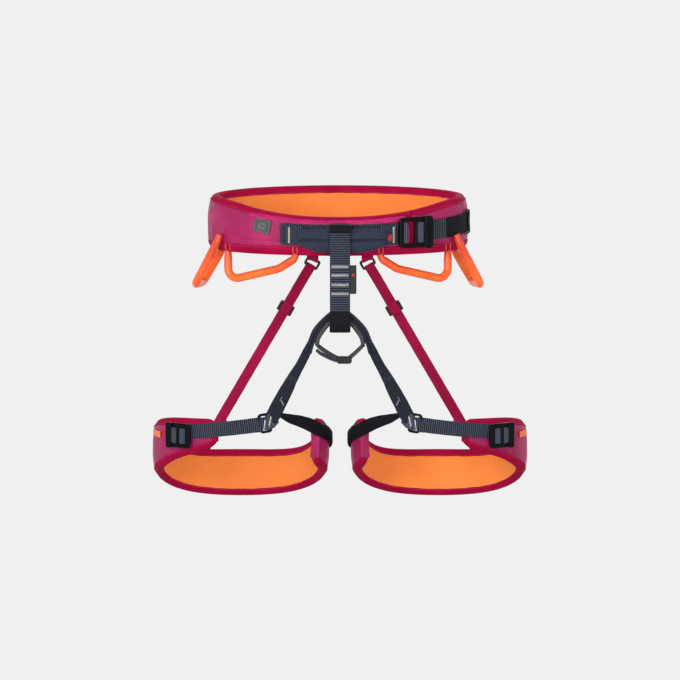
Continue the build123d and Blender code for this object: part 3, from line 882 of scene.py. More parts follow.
def pad_face(name, wall, th, top_in, bot_in, face, back, mat, closed, nt=64, extra=None, nb=10, tuck=-1):
    """A face of the padding: its shaped front and a plain return inside the pad."""
    y = wall.y(th)
    zt, zb = wall.T(th) - top_in, wall.B(th) + bot_in
    t = np.linspace(-1, 1, nt)
    TT, TH = np.meshgrid(t, th)
    Z = (zt + zb)[:, None] / 2 + (zt - zb)[:, None] / 2 * TT
    O = face(TH, TT, Z)
    O = O + tuck * (pinch(wall.T(TH) - Z, 3.4) + pinch(Z - wall.B(TH), 2.6))
    P = wall.pt(TH, O, Z)
    if extra is not None:
        N = wall.normal(TH)
        P = P + N * extra(P, TH, TT, Z)[..., None]
    t2 = np.linspace(1, -1, nb)
    Z2 = (zt + zb)[:, None] / 2 + (zt - zb)[:, None] / 2 * t2[None, :]
    P2 = wall.pt(th[:, None], np.full_like(Z2, back), Z2)
    full = np.concatenate([P, P2], 1)
    s = wall.arc(th)
    h = float((zt - zb).mean())
    V = np.concatenate([(t + 1) / 2 * h, h + (np.arange(nb + 1)) * 1.0])
    mb = MB()
    if closed:
        U = np.concatenate([s, [s[-1] + (s[-1] - s[-2])]])
        mb.strip_section(full, U, V, cu=True)
    else:
        mb.strip_section(full, s, V)
    return mb.build(name, mat)


def edge_tape(name, wall, th, side, h_out, h_in, o_out, o_in, mat, closed, seed=3, thick=1.0, ribs=0.0, rib_pitch=1.5,
              rise=0.35, squeeze=3.4, thin=None):
    """Binding folded over the upper (side 1) or lower (side -1) edge of a pad."""
    y = wall.y(th)
    z0 = wall.T(th) if side > 0 else wall.B(th)
    s = wall.arc(th)
    span = o_out - o_in
    k = np.linspace(0, 1, 11)
    out = []
    out += [(o_out - 0.85, -h_out, 0.0), (o_out - 0.1, -h_out + 0.12, 1.0), (o_out + 0.05, -h_out + 0.9, 1.0)]
    for q in np.linspace(0.15, 0.8, 6):
        out.append((o_out + 0.28 * math.sin(q * PI), -h_out * (1 - q), 1.0))
    for a in k:
        ang = a * PI
        out.append((o_in + span / 2 + span / 2 * math.copysign(abs(math.cos(ang)) ** 0.75, math.cos(ang)),
                    rise - 1.6 + 1.6 * abs(math.sin(ang)) ** 0.7, 1.0))
    for q in np.linspace(0.8, 0.15, 5):
        out.append((o_in - 0.2 * math.sin(q * PI), -h_in * (1 - q), 1.0))
    out += [(o_in - 0.05, -h_in + 0.9, 1.0), (o_in + 0.1, -h_in + 0.12, 1.0), (o_in + 0.85, -h_in, 0.0)]
    ret = []
    cx = o_in + span / 2
    for (o, dz, w) in out[::-1][1:-1][::2]:
        oo = cx + (o - cx) * (1 - 2 * thick / span)
        ret.append((oo, max(-max(h_in, h_out) + 0.3, dz - (thick if dz > -2 else 0.0)), 0.0))
    sec = np.array(out + ret)
    O = np.repeat(sec[None, :, 0], len(th), 0)
    D = np.repeat(sec[None, :, 1], len(th), 0)
    wgt = sec[None, :, 2]
    O = O + wgt * np.sign(sec[None, :, 0] - cx) * (wob(s, seed, 0.16, 26.0)[:, None])
    if ribs:
        cnt = round(s[-1] / rib_pitch)
        O = O + wgt * np.sign(sec[None, :, 0] - cx) * (ribs * np.cos(2 * PI * s / s[-1] * cnt))[:, None]
    if thin is not None:                 # the outer leg is narrower along part of the edge
        f_ = thin(th)[:, None]
        D = np.where((sec[None, :, 0] > cx) & (D < 0), D * f_, D)
    O = O - np.sign(sec[None, :, 0] - cx) * np.minimum(pinch(-D, squeeze), np.abs(sec[None, :, 0] - cx) * 0.62)
    edge = wob(s, seed + 5, 0.28, 40.0)[:, None] * (D < -2)
    Z = z0[:, None] + side * (D + edge)
    P = wall.pt(th[:, None], O, Z)
    seg = np.concatenate([[0], np.cumsum(np.linalg.norm(np.diff(sec[:, :2], axis=0), axis=1))])
    V = np.concatenate([seg, [seg[-1] + 1]])
    mb = MB()
    if closed:
        mb.strip_section(P, np.concatenate([s, [s[-1] * 2 - s[-2]]]), V, cu=True)
    else:
        mb.strip_section(P, s, V)
    return mb.build(name, mat)


def ring_stitches(mb, wall, th, dz, side, o, length=2.5, gap=1.5, r=0.27, inward=False):
    y = wall.y(th)
    z = (wall.T(th) - dz) if side > 0 else (wall.B(th) + dz)
    P = wall.pt(th, o, z)
    N = wall.normal(th) * (-1 if inward else 1)
    stitches(mb, P, N, length, gap, r)


def ride(obj, body):
    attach(obj, body)
    return obj


# ================================================================== waist belt
FULL = BELT.even(-PI, PI, 1.15)[:-1]
X_SEAM_L = -77.0


def belt_face(TH, TT, Z):
    y = BELT.y(TH)
    x = BELT_CX + BELT_A * np.cos(TH)
    amp = 0.55 + 1.35 * sm(y, -88, -40)
    o = amp * (1 - np.abs(TT) ** 3) - 0.35
    front = 1 - sm(y, -55, -20)
    # a lower band is sewn on across the front, and closes with vertical seams
    o = o - 0.65 * groove(Z + 12.4 + 0.02 * (x + 100), 1.2) * front * (np.abs(x) > 70)
    o = o - 0.6 * groove(x - X_SEAM_L, 1.1) * (y < -40) * (Z > -12)
    o = o - 0.75 * groove(np.abs(x + 2.5) - 118, 1.2) * (y > 0)
    o = o - 0.6 * groove(np.abs(x + 2.5) - 44, 1.2) * (y > 60)
    return o


def belt_extra(P, TH, TT, Z):
    y = BELT.y(TH)
    a = 0.40 + 1.0 * sm(y, -98, -70)
    return crinkle(P) * a * (1 - np.abs(TT) ** 8)


shell = pad_face("belt_shell", BELT, FULL, 2.0, 2.0, belt_face, -5.5, M["shell"], True, 60, belt_extra)
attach(shell, "waist")
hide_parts("waist_outer_shell", "waist_foam_core")


def lining_face(TH, TT, Z):
    return -11.6 - 0.9 * (1 - np.abs(TT) ** 3)


lin = pad_face("belt_lining", BELT, FULL, 2.0, 2.0, lining_face, -6.0, M["lining"], True, 40, tuck=1, extra=
               lambda P, TH, TT, Z: -0.35 * nz(P, 0.035, 4.0) - 0.12 * nz(P, 0.11, 2.0))
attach(lin, "waist")
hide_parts("waist_inner_lining")

th_a = BELT.theta_of_x(88.0)                      # right pad end, front
th_b = BELT.theta_of_x(-101.0)                    # front left, where the front strip starts
main_th = BELT.even(th_a, th_b + 2 * PI, 1.15)


def front_thin(th):
    a_ = (th + PI) % (2 * PI) - PI
    return 1 - 0.55 * sm(a_, th_b - 0.16, th_b + 0.05) * (1 - sm(a_, th_a - 0.10, th_a + 0.10))


bt = edge_tape("belt_top_binding", BELT, FULL, 1, 6.0, 8.5, 1.35, -13.2, M["binding"], True, 3, thin=front_thin)
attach(bt, "waist")
front_th = BELT.even(th_b - 0.10, th_a + 0.06, 0.30)
zf = BELT.T(front_th)
prof = np.array([(0.0, -9.6), (1.15, -9.5), (1.35, -8.8), (1.3, -7.0), (1.05, -5.0), (0.7, -3.4), (-0.2, -1.9), (-1.6, -1.6), (-1.6, -5.0), (-0.6, -8.0)])
ftP = np.zeros((len(front_th), len(prof), 3))
sf = BELT.arc(front_th)
for j, (o_, dz_) in enumerate(prof):
    live = 0.13 * np.cos(2 * PI * sf / 2.1) if 1 <= j <= 6 else 0.0
    ftP[:, j] = BELT.pt(front_th, o_ - pinch(-dz_, 3.4) + live, zf + dz_ + wob(sf, 7, 0.15, 30.0))
mb = MB()
mb.strip_section(ftP, sf, np.linspace(0, 26, len(prof) + 1))
ft = mb.build("belt_front_strip", M["strip"])
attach(ft, "waist")
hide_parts("waist_top_binding")
bb = edge_tape("belt_bottom_binding", BELT, FULL, -1, 11.0, 9.5, 1.30, -13.2, M["binding"], True, 8)
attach(bb, "waist")
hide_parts("waist_bottom_binding")

mb = MB()
ring_stitches(mb, BELT, main_th, 4.9, 1, 0.62)
ring_stitches(mb, BELT, FULL, 9.6, -1, 1.40)
st = mb.build("belt_binding_stitches", M["pink_thread"])
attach(st, "waist")
mb = MB()
ring_stitches(mb, BELT, FULL, 7.4, 1, -13.35, inward=True)
ring_stitches(mb, BELT, FULL, 8.2, -1, -13.35, inward=True)
st = mb.build("belt_inner_stitches", M["pink_thread"])
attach(st, "waist")

# seams of the shell: lower band, vertical seam, side panels
mb = MB()
for x0, x1, dz in ((-143, -79, -10.9), (-143, -79, -13.9), (104, 138, -13.5)):
    th = BELT.even(BELT.theta_of_x(x0), BELT.theta_of_x(x1), 1.0)
    P = BELT.pt(th, 0.35 + 1.35 * sm(BELT.y(th), -88, -40) * 0.8, dz - 0.02 * (BELT_CX + BELT_A * np.cos(th) + 100))
    stitches(mb, P, BELT.normal(th), 2.3, 1.5, 0.24)
for dx in (-1.6, 1.6):
    z = np.linspace(-11, 10, 20)
    th = np.full_like(z, BELT.theta_of_x(X_SEAM_L + dx))
    stitches(mb, BELT.pt(th, 0.45, z), BELT.normal(th), 2.2, 1.3, 0.24)
for sgn in (1, -1):
    z = np.linspace(-18, 22, 30)
    th = np.full_like(z, BELT.theta_of_x(-2.5 + sgn * 118 + 2.0, front=False))
    stitches(mb, BELT.pt(th, 1.4, z), BELT.normal(th), 2.4, 1.5, 0.25)
    z = np.linspace(-30, 20, 30)
    th = np.full_like(z, BELT.theta_of_x(-2.5 + sgn * 44 + 2.0, front=False))
    stitches(mb, BELT.pt(th, 1.4, z), BELT.normal(th), 2.4, 1.5, 0.25)
st = mb.build("belt_seam_stitches", M["pink_thread"])
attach(st, "waist")

# the right end of the padding laps over the left one and turns down behind the buckle
lap = []
for z, x in ((24.0, 84.0), (20.5, 85.2), (15, 87.2), (8, 89.4), (0, 90.6), (-10, 90.8), (-17, 90.4), (-22.5, 89.6)):
    th = BELT.theta_of_x(x)
    p = BELT.pt(np.array(th), 0.95 + 0.25 * (z < 18) , z)
    tng = unit(np.cross([0, 0, 1.0], BELT.normal(np.array(th)))[None])[0]
    lap.append((*p, *tng))
lp_ = ribbon("belt_end_binding", lap, 8.0, 1.3, M["binding"], pitch=2.0, rib=0.03)
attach(lp_, "waist")

# ------------------------------------------------------------------ waist webbing and tail


def web_zc(y):
    return np.interp(y, [-130, -20, 0], [-3.0, 3.0, 4.0])


def belt_ribbon_rows(x0, x1, o, n=40, zshift=0.0, th1=None):
    t0 = BELT.theta_of_x(x0)
    t1 = BELT.theta_of_x(x1) if th1 is None else th1
    th = np.linspace(t0, t1, n)
    P = BELT.pt(th, np.broadcast_to(o, th.shape), web_zc(BELT.y(th)) + zshift)
    return np.hstack([P, np.repeat([[0, 0, 1.0]], n, 0)])


ww = ribbon("waist_front_webbing", belt_ribbon_rows(-71, 77.5, 2.1), 25.0, 2.0, M["web"], 2.9, 0.26, per=6)
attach(ww, "waist")
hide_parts("waist_webbing")
hem = ribbon("waist_webbing_hem", belt_ribbon_rows(-73.2, -66.5, 3.3, 10, -0.6), 25.6, 1.6, M["web"], 2.2, 0.2, per=6)
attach(hem, "waist")
tail_rows = belt_ribbon_rows(96.0, 0, 2.2, 60, 0.0, th1=-math.asin(6.0 / 105.0))
tw = ribbon("waist_tail", tail_rows, 25.0, 1.9, M["web"], 2.9, 0.26, per=6,
            mask=lambda p, s, t: 1 - 0.93 * sm(s, 26, 40))
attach(tw, "waist")
tail_smooth = BELT.even(BELT.theta_of_x(131.0), -math.asin(5.0 / 105.0), 1.5)
P = BELT.pt(tail_smooth, 3.35, web_zc(BELT.y(tail_smooth)))
ts = ribbon("waist_tail_smooth_cover", np.hstack([P, np.repeat([[0, 0, 1.0]], len(P), 0)]), 25.2, 0.9, M["web_plain"],
            1.3, 0.02, raw=True)
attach(ts, "waist")
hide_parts("waist_tail_webbing")

kp = []
for dz in (-15.2, -14.2, 0, 14.2, 15.2):
    th = -math.asin(17 / 105.0)
    o = 4.5 if abs(dz) < 15 else 1.6
    p = BELT.pt(np.array(th), o, 3.1 + dz)
    tng = unit(np.cross([0, 0, 1.0], BELT.normal(np.array(th)))[None])[0]
    kp.append((*p, *tng))
k = ribbon("tail_keeper", kp, 9.0, 1.1, M["web_plain"], 1.4, 0.05)
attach(k, "waist")
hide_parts("waist_tail_keeper")

# blank square label
mb = MB()
quad = np.array([(-104.6, 17.6), (-84.6, 12.6), (-88.0, -4.4), (-109.1, 0.7)])
nn = 14
a, b = np.meshgrid(np.linspace(0, 1, nn), np.linspace(0, 1, nn), indexing="ij")
xz = ((1 - a) * (1 - b))[..., None] * quad[0] + (a * (1 - b))[..., None] * quad[1] + (a * b)[..., None] * quad[2] + \
    ((1 - a) * b)[..., None] * quad[3]


def on_belt(x, z, o):
    th = -np.arccos(np.clip((x - BELT_CX) / BELT_A, -1, 1))
    return BELT.pt(th, o, z)


r_edge = np.minimum(np.minimum(a, 1 - a), np.minimum(b, 1 - b))
topf = on_belt(xz[..., 0], xz[..., 1], 1.25 + 0.45 * np.minimum(r_edge * 14, 1) ** 0.5)
botf = on_belt(xz[..., 0], xz[..., 1], 0.6)
mb.grid(topf, np.linspace(0, 20, nn), np.linspace(0, 18, nn))
rim_t = np.concatenate([topf[:, 0], topf[-1, 1:], topf[::-1, -1][1:], topf[0, ::-1][1:-1]])
rim_b = np.concatenate([botf[:, 0], botf[-1, 1:], botf[::-1, -1][1:], botf[0, ::-1][1:-1]])
mb.grid(np.stack([rim_t, rim_b], 1), np.linspace(0, 76, len(rim_t) + 1), [0, 1], cu=True)
lab = mb.build("front_label", M["label"])
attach(lab, "waist")
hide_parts("waist_label")
mb = MB()
loopq = []
for i in range(4):
    p, q = quad[i], quad[(i + 1) % 4]
    c = quad.mean(0)
    p2, q2 = c + (p - c) * 0.86, c + (q - c) * 0.86
    for t in np.linspace(0, 1, 12, endpoint=False):
        loopq.append(p2 + (q2 - p2) * t)
loopq = np.array(loopq + [loopq[0]])
LP = on_belt(loopq[:, 0], loopq[:, 1], 1.72)
th = -np.arccos((loopq[:, 0] - BELT_CX) / BELT_A)
stitches(mb, LP, BELT.normal(th), 1.3, 0.8, 0.20)
for rr in (4.6, 2.6):
    ang = np.linspace(0, 2 * PI, 30)
    c = quad.mean(0)
    cq = c + np.stack([rr * np.cos(ang), rr * 0.86 * np.sin(ang)], 1)
    th = -np.arccos((cq[:, 0] - BELT_CX) / BELT_A)
    stitches(mb, on_belt(cq[:, 0], cq[:, 1], 1.72), BELT.normal(th), 1.1, 0.35, 0.28)
o = mb.build("front_label_stitches", M["label_light"])
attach(o, "waist")


# ================================================================== tie-in point
def bring(name, rows, mat, width=25.0, thick=2.0, **kw):
    return ribbon(name, rows, width, thick, mat, **kw)


def belt_row(x, o, z):
    th = np.array(BELT.theta_of_x(x))
    return (*BELT.pt(th, o, z), 0, 0, 1.0)


stub_l = bring("tie_in_end_left", [belt_row(x, o, -2.5) for x, o in ((-70.5, 4.3), (-66, 4.7), (-61, 5.0), (-56.5, 7.5),
               (-52.5, 11.0), (-48.5, 13.6), (-44, 14.6))], M["web"], pitch=2.5, rib=0.25)
stub_r = bring("tie_in_end_right", [belt_row(x, o, -2.5) for x, o in ((48.5, 14.6), (53, 13.6), (57.2, 11.0), (60.5, 7.5),
               (64.5, 5.0), (68, 4.7), (72, 4.3))], M["web"], pitch=2.5, rib=0.25)
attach(stub_l, "waist")
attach(stub_r, "waist")
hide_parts("tie_in_webbing_ends")
mb = MB()
for x in (-61.8, 65.0):
    th = np.array(BELT.theta_of_x(x))
    n = BELT.normal(th)
    tng = np.cross([0, 0, 1.0], n)
    tack(mb, BELT.pt(th, 6.35, -2.6), (0, 0, 1), tng, n, 19.5, 2.9, 0.72, 0.34)
bt2 = mb.build("tie_in_bartack_threads", M["cream"])
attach(bt2, "waist")
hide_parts("tie_in_bartacks")
mb = MB()
for x in (-67.6, -56.9, 60.2, 69.2):
    th = np.array(BELT.theta_of_x(x))
    n = BELT.normal(th)
    tng = np.cross([0, 0, 1.0], n)
    tack(mb, BELT.pt(th, 6.1 if abs(x) > 62 else 8.3, -2.6), (0, 0, 1), tng, n, 21.0, 1.5, 0.8, 0.3)
bt3 = mb.build("tie_in_dark_threads", M["dark_thread"])
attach(bt3, "waist")

# padded sleeve between the two ends
sx = np.linspace(-51.5, 56.5, 150)
s_top = np.interp(sx, [-51.5, -50, -30, 2, 35, 55, 56.5], [5.2, 6.5, 7.5, 7.9, 7.5, 6.4, 5.2])
s_bot = catmull(np.array([(-52.5, -11, 0), (-50, -12.4, 0), (-41, -17.2, 0), (-26, -21.8, 0), (2, -24.0, 0), (30, -21.8, 0),
                          (46, -17.2, 0), (55, -12.4, 0), (57.5, -11, 0)]), 20)
s_bot = np.interp(sx, s_bot[:, 0], s_bot[:, 1])
q_ = np.linspace(-0.985, 0.985, 74)
sa_f = np.sign(q_) * np.abs(q_) ** (1 / 0.62)
ang_b = np.linspace(PI / 2 + 0.05, 3 * PI / 2 - 0.05, 26)
ca = np.concatenate([np.sqrt(1 - sa_f ** 2), np.cos(ang_b)])
sa = np.concatenate([sa_f, np.sin(ang_b)])
na = len(ca)
endt = np.minimum(np.clip((sx + 51.5) / 9.0, 0, 1), np.clip((56.5 - sx) / 9.0, 0, 1))
endt = np.sqrt(1 - (1 - endt) ** 2)
o_c = 11.8 + 3.6 * endt
o_h = 2.2 + 2.9 * endt
O = o_c[:, None] + o_h[:, None] * np.sign(ca)[None] * (np.abs(ca)[None] ** 0.62)
Zs = ((s_top + s_bot) / 2)[:, None] + ((s_top - s_bot) / 2)[:, None] * np.sign(sa)[None] * (np.abs(sa)[None] ** 0.62)
frontw = np.clip(ca, 0, 1)[None] ** 0.5
seam_z = -6.9
O = O - 2.3 * groove(Zs - seam_z, 1.3) * frontw
O = O - 0.55 * groove(Zs - (s_top[:, None] - 2.0), 0.7) * frontw
O = O + 0.5 * groove(Zs - (seam_z + 6.5), 4.5) * frontw + 0.7 * groove(Zs - (seam_z - 7.0), 4.5) * frontw
TH = np.array([BELT.theta_of_x(x) for x in sx])
P = BELT.pt(TH[:, None], O, Zs)
P = P + BELT.normal(TH)[:, None] * (0.30 * nz(P, 0.09, 3.0) + 0.16 * nz(P * np.array([1.6, 1, 0.7]), 0.25, 6.0))[..., None] * frontw[..., None]
mb = MB()
seg = np.concatenate([[0], np.cumsum(np.linalg.norm(np.diff(P[75], axis=0), axis=1))])
mb.strip_section(P, sx + 60, np.concatenate([seg, [seg[-1] + 1]]))
sleeve = mb.build("tie_in_padded_sleeve", M["sleeve"])
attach(sleeve, "belay")
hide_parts("tie_in_sleeve", "tie_in_webbing_core")
mb = MB()
for dz, oo in ((seam_z + 2.3, 0), (seam_z - 2.3, 0)):
    q = np.linspace(-46, 51, 120)
    TH2 = np.array([BELT.theta_of_x(x) for x in q])
    i0 = np.clip(np.searchsorted(sx, q), 0, len(sx) - 1)
    o_at = []
    for i, zz in zip(i0, np.full(len(q), dz)):
        fr = np.where(ca > 0.15)[0]
        jj = fr[np.argmin(np.abs(Zs[i][fr] - zz))]
        o_at.append(O[i][jj])
    stitches(mb, BELT.pt(TH2, np.array(o_at) + 0.12, dz), BELT.normal(TH2), 1.9, 1.2, 0.20)
o = mb.build("sleeve_seam_stitches", M["web_blue"])
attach(o, "belay")
# small blank side tag at the right end of the sleeve
rt_ = ribbon("sleeve_red_tag", [belt_row(x, o_, -5.5) for x, o_ in ((54.0, 13.6), (57.2, 12.8), (60.6, 9.9), (61.9, 9.3))], 8.0, 0.8,
             M["red"], pitch=1.2, rib=0.02)
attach(rt_, "belay")

# ================================================================== belay loop


def loop_rows(inset, yf=-131.2, zt=12.6, zb=-121.2):
    """Closed line in the side view, drawn in from the loop's outer face."""
    yf, zt, zb = yf + inset, zt - inset, zb + inset
    yr_t, yr_b = -108.7 - inset, -103.4 - inset
    r = 7.5 - inset * 0.6
    pts = []
    cor = [(yf, zt), (yf, zb), (yr_b, zb), (yr_t, zt)]
    n = len(cor)
    for i in range(n):
        p, a, b = np.array(cor[i]), np.array(cor[i - 1]), np.array(cor[(i + 1) % n])
        ua, ub = unit((a - p)[None])[0], unit((b - p)[None])[0]
        for t in np.linspace(0, 1, 7):
            q = (1 - t) ** 2 * (p + ua * r * 1.25) + 2 * t * (1 - t) * (p + (ua + ub) * 0.12) + t * t * (p + ub * r * 1.25)
            pts.append(q)
        nxt = np.array(cor[(i + 1) % n])
        e0, e1 = p + ub * r * 1.25, nxt - ub * r * 1.25
        for t in np.linspace(0, 1, 12)[1:-1]:
            pts.append(e0 + (e1 - e0) * t)
    pts = np.array(pts)
    z = pts[:, 1]
    bow = 0.35 * np.sin((z + 55) / 42.0)
    return np.stack([np.zeros(len(pts)), pts[:, 0] + bow * 0.6, z, np.ones(len(pts)), np.zeros(len(pts)), np.zeros(len(pts))], 1)


def loop_mask(p, s, t):
    return 0.12 + 0.88 * sm(p[:, 2], -99, -95) * (1 - sm(p[:, 2], 3.5, 7.5))


bl = ribbon("belay_loop_outer", loop_rows(1.15), 25.2, 2.3, M["web"], 2.9, 0.30, closed=True, mask=loop_mask, per=4)
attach(bl, "belay")
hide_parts("belay_loop")
bl2 = ribbon("belay_loop_inner", loop_rows(3.35), 24.4, 2.1, M["web_plain"], 2.2, 0.10, closed=True, per=4)
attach(bl2, "belay")
bl3 = ribbon("belay_loop_top_cover", [(0, y, z, 1, 0, 0) for y, z in ((-131.75, 3.4), (-131.75, 7.0), (-130.6, 10.8), (-127.4, 12.9),
             (-122, 13.25), (-114, 13.2), (-110.5, 12.0))], 25.8, 1.0, M["web_plain"], 1.6, 0.03)
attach(bl3, "belay")
bl4 = ribbon("belay_loop_bottom_cover", [(0, y, z, 1, 0, 0) for y, z in ((-131.8, -95.5), (-131.9, -104), (-131.7, -113.5), (-129.6, -119.4),
             (-124.5, -121.8), (-112, -121.9), (-105.5, -120.2), (-103.0, -114), (-103.2, -104))], 26.0, 1.1, M["web_plain"], 2.0, 0.03)
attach(bl4, "belay")
mb = MB()
for z in (-38.6, -49.4, -61.4, -72.7):
    tack(mb, (0, -131.85, z), (1, 0, 0), (0, 0, 1), (0, -1, 0), 20.5, 4.2, 0.62, 0.36)
o = mb.build("belay_loop_bartacks", M["grey_thread"])
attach(o, "belay")
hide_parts("belay_bartacks")
mb = MB()
for x in (-11.2, 11.2):
    z = np.linspace(-93, 2, 60)
    P = np.stack([np.full_like(z, x), np.full_like(z, -131.55), z], 1)
    stitches(mb, P, (0, -1, 0), 1.6, 1.3, 0.2)
o = mb.build("belay_loop_edge_stitches", M["dark_thread"])
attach(o, "belay")
bl5 = ribbon("belay_loop_side_label", [(x, y, -55.0, 0, 0, 1.0) for x, y in ((8.0, -128.9), (12.6, -129.2), (16.0, -129.4), (19.0, -129.0),
             (20.2, -128.2))], 36.0, 0.9, M["label_black"], pitch=1.5, rib=0.02)
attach(bl5, "belay")
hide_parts("belay_label")
dot = ribbon("belay_label_dot", [(x, -130.1, -49.0, 0, 0, 1.0) for x in (15.2, 16.6, 18.2)], 3.0, 0.5, M["red"], pitch=1.0, rib=0.01)
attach(dot, "belay")
mb = MB()
z = np.linspace(-72, -38, 30)
stitches(mb, np.stack([np.full_like(z, 14.0), np.full_like(z, -129.85), z], 1), (0, -1, 0), 1.5, 1.2, 0.2)
o = mb.build("belay_label_stitches", M["label"])
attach(o, "belay")

# ================================================================== lower tie-in arch
ARCH_OUT = [(0, -93.0), (11.75, -97.6), (23, -107), (34, -120.1), (39.3, -133), (45.2, -145.0)]
ARCH_MID = [(0, -101.5), (10.5, -105.0), (20.5, -114.0), (28.6, -125.5), (31.8, -136), (35.5, -149.5)]
ARCH_IN = [(0, -110.0), (11.25, -113.2), (19.6, -122.8), (24.6, -131), (26.2, -139.5)]


def both_sides(line):
    return np.array([(-x, z) for x, z in line[::-1]][:-1] + list(line), float)


def arch_line(upper, lower, f, n=60):
    u, l = (catmull(np.hstack([both_sides(q), np.zeros((2 * len(q) - 1, 1))]), 24) for q in (upper, lower))
    u, _, _ = resample(u, 0.5)
    l, _, _ = resample(l, 0.5)
    k = np.linspace(0, 1, n)
    U = np.stack([np.interp(k, np.linspace(0, 1, len(u)), u[:, i]) for i in (0, 1)], 1)
    L = np.stack([np.interp(k, np.linspace(0, 1, len(l)), l[:, i]) for i in (0, 1)], 1)
    return U + (L - U) * f, np.linalg.norm(U - L, axis=1)


def arch_band(name, upper, lower, f, thick, width, mat, yc=-117.3, rib=0.22, pitch=2.4, cut=0.0):
    c, gap = arch_line(upper, lower, f)
    if cut:
        c = c[cut:-cut]
    rows = np.stack([c[:, 0], np.full(len(c), yc), c[:, 1], np.zeros(len(c)), np.ones(len(c)), np.zeros(len(c))], 1)
    return ribbon(name, rows, width, thick, mat, pitch, rib, per=4, edge=6.0)


def slab(name, upper, lower, y0, y1, mat, n=120, r=1.6, ribs=0.0, pitch=2.1, notch=None):
    """Band between two lines with rounded front and back edges; ribs run across its faces."""
    u, gap = arch_line(upper, lower, 0.0, n)
    l, _ = arch_line(upper, lower, 1.0, n)
    s = np.concatenate([[0], np.cumsum(np.linalg.norm(np.diff((u + l) / 2, axis=0), axis=1))])
    sec = []
    for a in np.linspace(0, 90, 5):                       # front upper corner
        a = math.radians(a)
        sec.append((r * (1 - math.sin(a)), y0 + r * (1 - math.cos(a)), 0))
    sec = [(r - r * math.sin(math.radians(a)), r - r * math.cos(math.radians(a))) for a in np.linspace(0, 90, 5)]
    ring = []
    nf = 10
    for d, y in sec:                                      # from the upper face round to the front face
        ring.append(("u", r - (r - d), y0 + (r - y) * 0 + 0, d, y))
    pts = []
    w = y1 - y0
    # distance from the upper line (d) and depth (y), going round the section
    q = [(r * (1 - math.sin(t)), y0 + r * (1 - math.cos(t))) for t in np.linspace(PI / 2, 0, 5)]
    for d, y in q:
        pts.append((0, d, y))
    for f in np.linspace(0, 1, nf)[1:-1]:
        pts.append((2, f, y0))
    for d, y in q[::-1]:
        pts.append((1, d, y))
    for f in np.linspace(0, 1, 8)[1:-1]:
        pts.append((1, 0, y0 + r + (w - 2 * r) * f))
    for d, y in q:
        pts.append((1, d, y1 - (y - y0)))
    for f in np.linspace(1, 0, nf)[1:-1]:
        pts.append((2, f, y1))
    for d, y in q[::-1]:
        pts.append((0, d, y1 - (y - y0)))
    for f in np.linspace(1, 0, 8)[1:-1]:
        pts.append((0, 0, y0 + r + (w - 2 * r) * f))
    P = np.zeros((n, len(pts), 3))
    cnt = max(1, round(s[-1] / pitch))
    rb = ribs * np.cos(2 * PI * s / s[-1] * cnt)
    dirn = unit(l - u)
    for j, (k, d, y) in enumerate(pts):
        if k == 0:
            c = u + dirn * d
        elif k == 1:
            c = l - dirn * d
        else:
            c = u + dirn * r + (l - u - 2 * dirn * r) * d
        yy = np.full(n, y)
        if y < y0 + r:
            yy = yy - rb
        P[:, j, 0], P[:, j, 1], P[:, j, 2] = c[:, 0], yy, c[:, 1]
    mb = MB()
    seg = np.concatenate([[0], np.cumsum(np.linalg.norm(np.diff(P[n // 2], axis=0), axis=1))])
    mb.strip_section(P, s / s[-1] * cnt * 2.7, np.concatenate([seg, [seg[-1] + 1]]))
    return mb.build(name, mat)


def between(A, B, f):
    A, B = np.array(A), np.array(B)
    return [tuple(r) for r in A + (B - A) * f]


arch1 = slab("lower_arch_outer_layer", ARCH_OUT, between(ARCH_OUT, ARCH_MID, 0.52), -125.4, -109.2, M["web_speck"], ribs=0.22, pitch=1.9)
arch2 = slab("lower_arch_inner_layer", between(ARCH_OUT, ARCH_MID, 0.52), ARCH_MID, -124.4, -110.2, M["web_speck"], ribs=0.16, pitch=1.9, r=1.2)
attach(arch1, "belay")
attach(arch2, "belay")
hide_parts("lower_tie_in_arch")
prot = slab("lower_arch_protector", between(ARCH_MID[:5], ARCH_IN, 0.03), ARCH_IN, -124.2, -110.4, M["prot"], r=2.4, ribs=0.10, pitch=1.5)
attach(prot, "belay")
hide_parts("arch_protector")
mb = MB()
for f in (0.30, 0.78):
    c, _ = arch_line(ARCH_OUT, ARCH_MID, f, 90)
    P = np.stack([c[4:-4, 0], np.full(82, -125.55 if f < 0.5 else -124.6), c[4:-4, 1]], 1)
    stitches(mb, P, (0, -1, 0), 1.5, 1.1, 0.2)
c, _ = arch_line(ARCH_MID[:5], ARCH_IN, 0.75, 80)
stitches(mb, np.stack([c[4:-4, 0], np.full(72, -124.1), c[4:-4, 1]], 1), (0, -1, 0), 1.5, 1.2, 0.18)
o = mb.build("arch_stitches", M["web_blue"])
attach(o, "belay")

